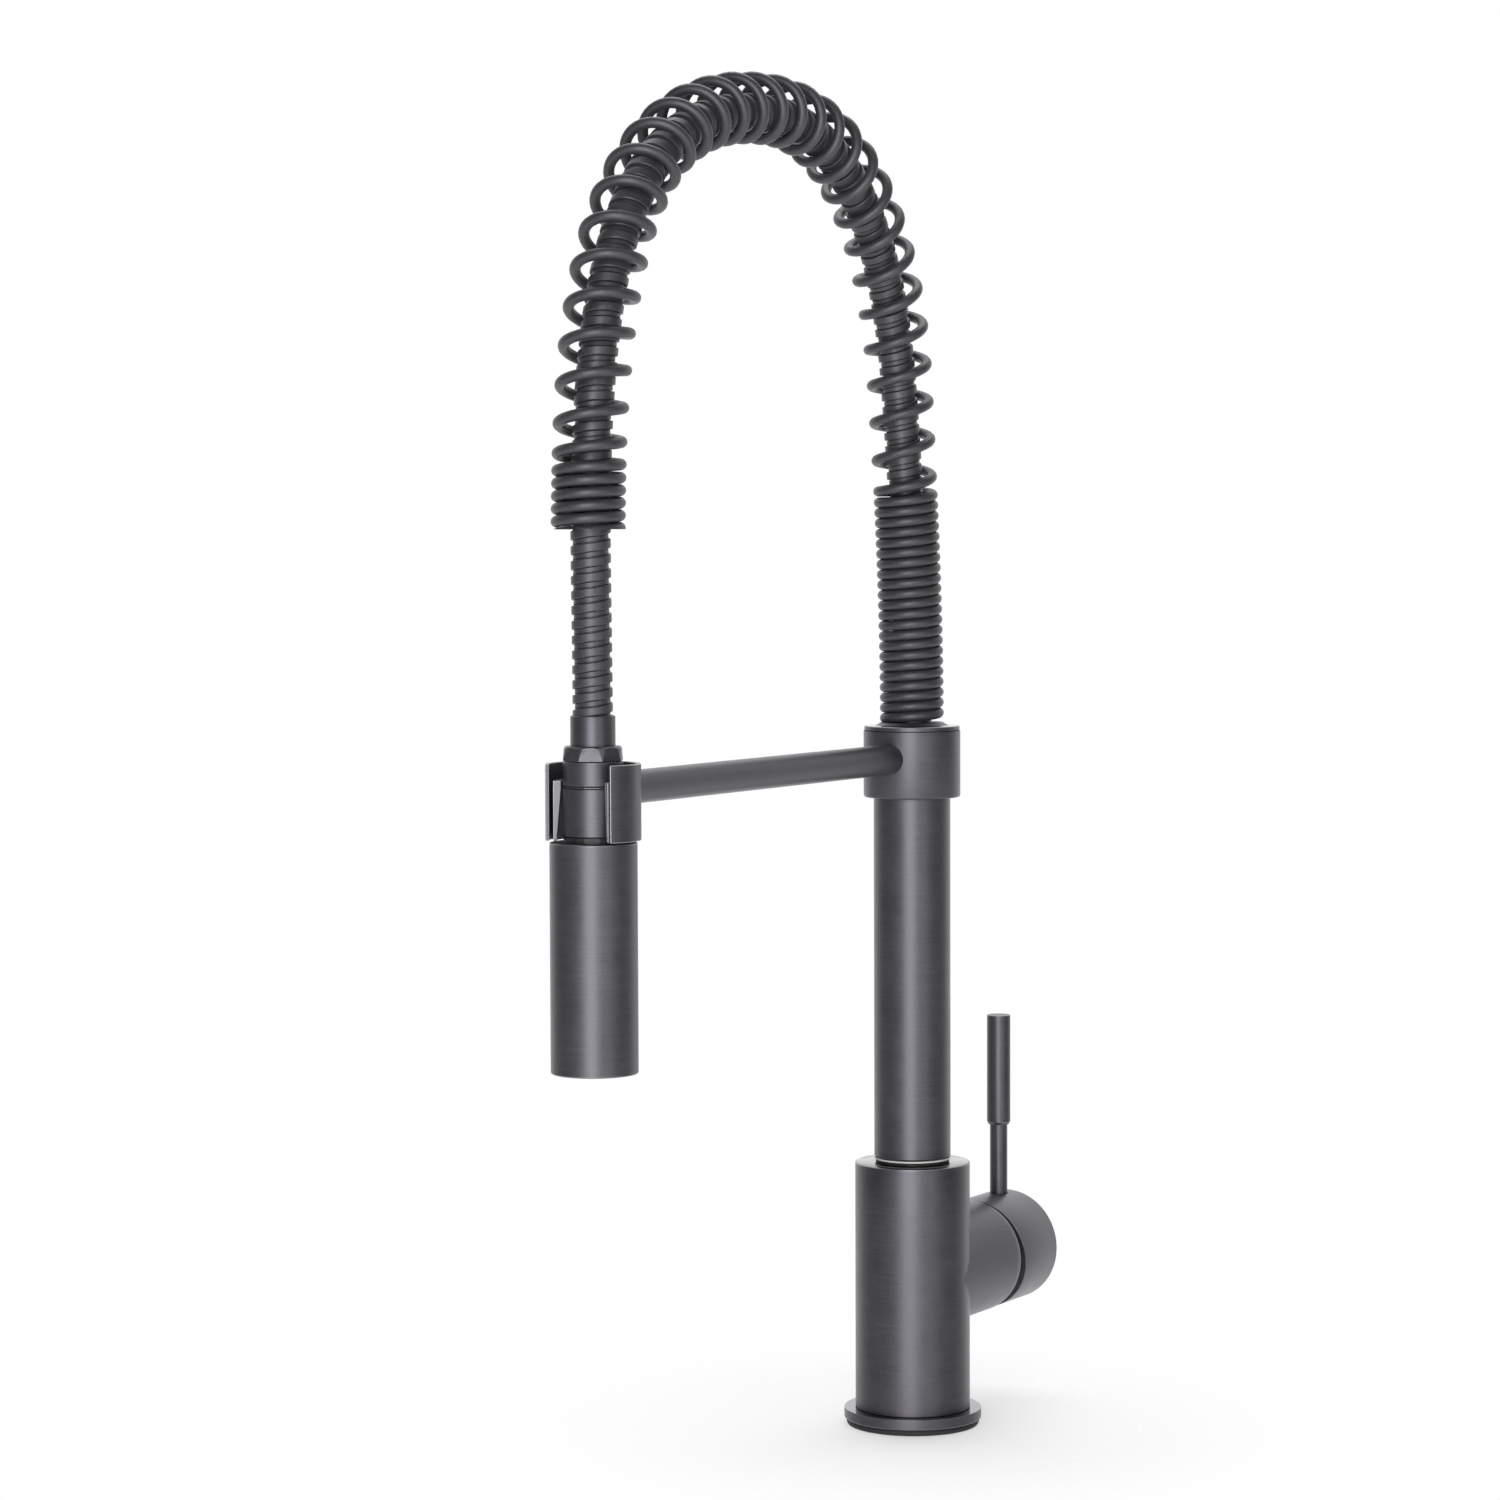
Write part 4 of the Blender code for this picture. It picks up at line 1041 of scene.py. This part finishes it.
# %% Spring
WIRE_R = 2.13 * MM
COIL_R = 11.25 * MM
COIL_R_OPEN = 11.9 * MM
COIL_R_FREE = 11.65 * MM
CLOSED_TURNS = 21.95
CLOSED_PITCH = 4.3 * MM
OPEN_TURNS = 30.4
FREE_TURNS = 5.0
PITCH_TAPER = 0.12
FREE_PITCH = 4.6 * MM
SPRING_END_Z = ARM_Z + 95.8 * MM
SPRING_SAG = 1.6 * MM
HOSE_DROOP = 1.7 * MM
SPRING_FOOT = seat_top + 1.7 * MM
OPENING_TURNS = 1.2
CLOSING_TURNS = 2.8
STEPS = 36
print("turns:", round(CLOSED_TURNS + OPEN_TURNS + FREE_TURNS, 2))

# %% [markdown]
# ### Pitch
# A turn rises by the wire's thickness where the coil is closed and by far more where it is open.
# Both changes are eased, and the open pitch narrows a little toward the head. The grinding takes
# part of the last turn away, so the wire is wound a little past the spring's end.


# %% Pitch of each turn
def clamped(value):
    """A value kept between 0 and 1."""
    return min(max(value, 0.0), 1.0)


def eased(value):
    """A share from 0 to 1 that starts and ends gently."""
    value = clamped(value)
    return value * value * (3 - 2 * value)


def pitch_at(turn, middle):
    """Rise per turn: closed on the column, open over the arch, closing again at the free end."""
    opened = eased((turn - CLOSED_TURNS) / OPENING_TURNS)
    still_open = eased((CLOSED_TURNS + OPEN_TURNS - turn) / CLOSING_TURNS)
    middle *= 1 + PITCH_TAPER * (0.5 - (turn - CLOSED_TURNS) / OPEN_TURNS)
    if turn < CLOSED_TURNS + OPEN_TURNS / 2:
        return CLOSED_PITCH + (middle - CLOSED_PITCH) * opened
    return FREE_PITCH + (middle - FREE_PITCH) * still_open


def winding(middle):
    """The distance along the arch at every step of the wire."""
    steps = round((CLOSED_TURNS + OPEN_TURNS + FREE_TURNS) * STEPS)
    result = [SPRING_FOOT - seat_top]
    for i in range(steps):
        result.append(result[-1] + pitch_at((i + 0.5) / STEPS, middle) / STEPS)
    return result


# %% Solve the open pitch
end_distance = next(d for d, p in zip(reversed(lengths), reversed(line)) if p.y > SPRING_END_Z)
GROUND_OFF = 0.6
end_of_wire = end_distance + GROUND_OFF * FREE_PITCH
narrow, wide = 10 * MM, 20 * MM
for _ in range(40):
    trial = (narrow + wide) / 2
    narrow, wide = (trial, wide) if winding(trial)[-1] < end_of_wire else (narrow, trial)
coil = winding(narrow)
print("open pitch:", round(narrow / MM, 2), "mm")

# %% [markdown]
# ### Path
# The wire circles the arch at the coil's radius, which grows a little where the coil is open. The
# free end hangs a little outward under its own weight, and the hose lies against the inner side
# of the coils on top of the arch.

# %% Path of the wire
OPENS_AT, OPENS_OVER = 95 * MM, 80 * MM
CLOSES_AT, CLOSES_OVER = 60 * MM, 40 * MM
SAGS_OVER = 160 * MM


def past_opening(distance):
    """How far the coil has opened at a distance, unclamped: 0 where it begins, 1 where it ends."""
    return (distance - OPENS_AT) / OPENS_OVER


def sagging(distance):
    """The share of the spring's own sag: none over the arch, and all of it at the free end."""
    return clamped((distance - end_distance) / SAGS_OVER + 1) ** 2


def droop(distance):
    """How far the hose lies inside the spring's centreline: it rests on the coil in the arch."""
    return HOSE_DROOP * eased(past_opening(distance)) * (1 - sagging(distance))


path = []
for i, distance in enumerate(coil):
    angle = math.pi / 2 + 2 * math.pi * i / STEPS
    point, heading = along(distance)
    opened = clamped(past_opening(distance))
    closed = clamped((distance - end_distance + CLOSES_AT) / CLOSES_OVER)
    radius = COIL_R + (COIL_R_OPEN - COIL_R) * opened + (COIL_R_FREE - COIL_R_OPEN) * closed
    normal = Vector((0, heading.y, heading.x))
    centre = Vector((0, -point.x - SPRING_SAG * sagging(distance), point.y))
    path.append(centre + radius * (math.cos(angle) * Vector((1, 0, 0)) + math.sin(angle) * normal))
print("points on the wire:", len(path))


# %% Wire
def wire(name, points, radius, resolution):
    """A round wire through points: a bevelled curve with filled ends, made a mesh."""
    start()
    curve = bpy.data.curves.new(name, "CURVE")
    curve.dimensions = "3D"
    curve.bevel_depth = radius
    curve.bevel_resolution = resolution
    curve.use_fill_caps = True
    spline = curve.splines.new("POLY")
    spline.points.add(len(points) - 1)
    for target, point in zip(spline.points, points):
        target.co = (*point, 1.0)
    obj = bpy.data.objects.new(name, curve)
    bpy.context.scene.collection.objects.link(obj)
    obj.select_set(True)
    bpy.context.view_layer.objects.active = obj
    bpy.ops.object.convert(target="MESH")
    return bpy.context.object


spring = wire("coil_spring", path, WIRE_R, 5)


# %% Grind both ends
def grind(obj, height, near):
    """Cut the wire with a level plane near one of its ends, keep what is above, and close it."""
    take(obj)
    bpy.ops.object.mode_set(mode="EDIT")
    bpy.ops.mesh.select_all(action="DESELECT")
    bpy.ops.object.mode_set(mode="OBJECT")
    for vert in obj.data.vertices:
        vert.select = abs(vert.co.y - near) < 30 * MM and abs(vert.co.z - height) < 8 * MM
    for face in obj.data.polygons:
        face.select = all(obj.data.vertices[i].select for i in face.vertices)
    bpy.ops.object.mode_set(mode="EDIT")
    bpy.ops.mesh.bisect(
        plane_co=(0, 0, height), plane_no=(0, 0, 1), clear_inner=True, use_fill=True, threshold=1e-7
    )
    bpy.ops.object.mode_set(mode="OBJECT")
    print("ground at", round(height / MM, 1), "mm:", len(obj.data.polygons), "faces left")


grind(spring, SPRING_FOOT, 0.0)
grind(spring, SPRING_END_Z, HEAD_Y)


def finish_flexible(obj, node, coat, angle):
    """Finish a piece that stretches between the spout and the pulled-down hose end."""
    obj.data.materials.clear()
    obj.data.materials.append(coat)
    take(obj)
    bpy.ops.object.shade_smooth_by_angle(angle=math.radians(angle))
    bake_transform(obj)
    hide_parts(node)
    print(f"{obj.name}: {len(obj.data.polygons)} faces")


finish_flexible(spring, "support_spring", coat_wire, 50)

# %% [markdown]
# ## Strip-wound hose
# The hose is one long metal strip, folded at its edges and wound so that each turn hooks over the
# last. From outside that is a wide raised band and a narrow sunken lip, turn after turn. The
# folded section of one turn is drawn as a short chain of edges, a Screw modifier winds it up to
# the full length, and a Curve modifier bends the straight hose along the arch.

# %% Hose
HOSE_PITCH = 5.44 * MM
CREST_R = 7.4 * MM
SECTION = (
    (0.00, -1.25),
    (0.02, -0.18),
    (0.07, 0.0),
    (0.54, 0.0),
    (0.59, -0.18),
    (0.61, -1.1),
    (0.66, -0.88),
    (0.93, -0.80),
    (0.96, -1.25),
)
HOSE_FOOT = 12 * MM
SCREW_STEPS = 40
ARCH_STEPS = 800
hose_length = lengths[-1] + HOSE_FOOT
turns = math.ceil(hose_length / HOSE_PITCH)

start()
bpy.ops.mesh.primitive_circle_add(vertices=3, radius=0.1 * MM, location=(0, 0, 0))
hose = bpy.context.object
hose.name = "strip_hose"
hose.data.name = "strip_hose"
bpy.ops.object.mode_set(mode="EDIT")
bpy.ops.mesh.select_all(action="SELECT")
bpy.ops.mesh.merge(type="CENTER")
place = Vector((CREST_R + SECTION[0][1] * MM, 0, 0))
bpy.ops.mesh.select_all(action="SELECT")
bpy.ops.transform.translate(value=place)
for share, depth in SECTION[1:] + ((1.0, SECTION[0][1]),):
    corner = Vector((CREST_R + depth * MM, 0, share * HOSE_PITCH))
    bpy.ops.mesh.extrude_vertices_move(TRANSFORM_OT_translate={"value": corner - place})
    place = corner
bpy.ops.object.mode_set(mode="OBJECT")
bpy.ops.object.transform_apply(location=True, rotation=True, scale=True)

winder = hose.modifiers.new("wind", "SCREW")
winder.axis = "Z"
winder.angle = 2 * math.pi
winder.screw_offset = HOSE_PITCH
winder.iterations = turns
winder.steps = SCREW_STEPS
winder.render_steps = SCREW_STEPS
winder.use_merge_vertices = True
winder.merge_threshold = 1e-5
bpy.ops.object.modifier_apply(modifier=winder.name)
print("hose turns:", turns, " faces:", len(hose.data.polygons))

# %% Bend the hose along the arch
start()
arch_data = bpy.data.curves.new("arch", "CURVE")
arch_data.dimensions = "3D"
arch_data.twist_mode = "MINIMUM"
spline = arch_data.splines.new("POLY")
arch_points = [Vector((0, seat_top - HOSE_FOOT))]
for distance in [lengths[-1] * i / ARCH_STEPS for i in range(ARCH_STEPS + 1)]:
    point, heading = along(distance)
    arch_points.append(point - droop(distance) * Vector((-heading.y, heading.x)))
spline.points.add(len(arch_points) - 1)
for target, point in zip(spline.points, arch_points):
    target.co = (0, -point.x, point.y, 1.0)
arch = bpy.data.objects.new("arch", arch_data)
bpy.context.scene.collection.objects.link(arch)
hose.select_set(True)
bpy.context.view_layer.objects.active = hose
bender = hose.modifiers.new("bend", "CURVE")
bender.object = arch
bender.deform_axis = "POS_Z"
bpy.ops.object.modifier_apply(modifier=bender.name)
bpy.data.objects.remove(arch, do_unlink=True)
corners = (hose.bound_box[0], hose.bound_box[6])
print("hose box:", [[round(c / MM, 1) for c in corner] for corner in corners])
finish_flexible(hose, "spray_hose", coat_hose, 30)
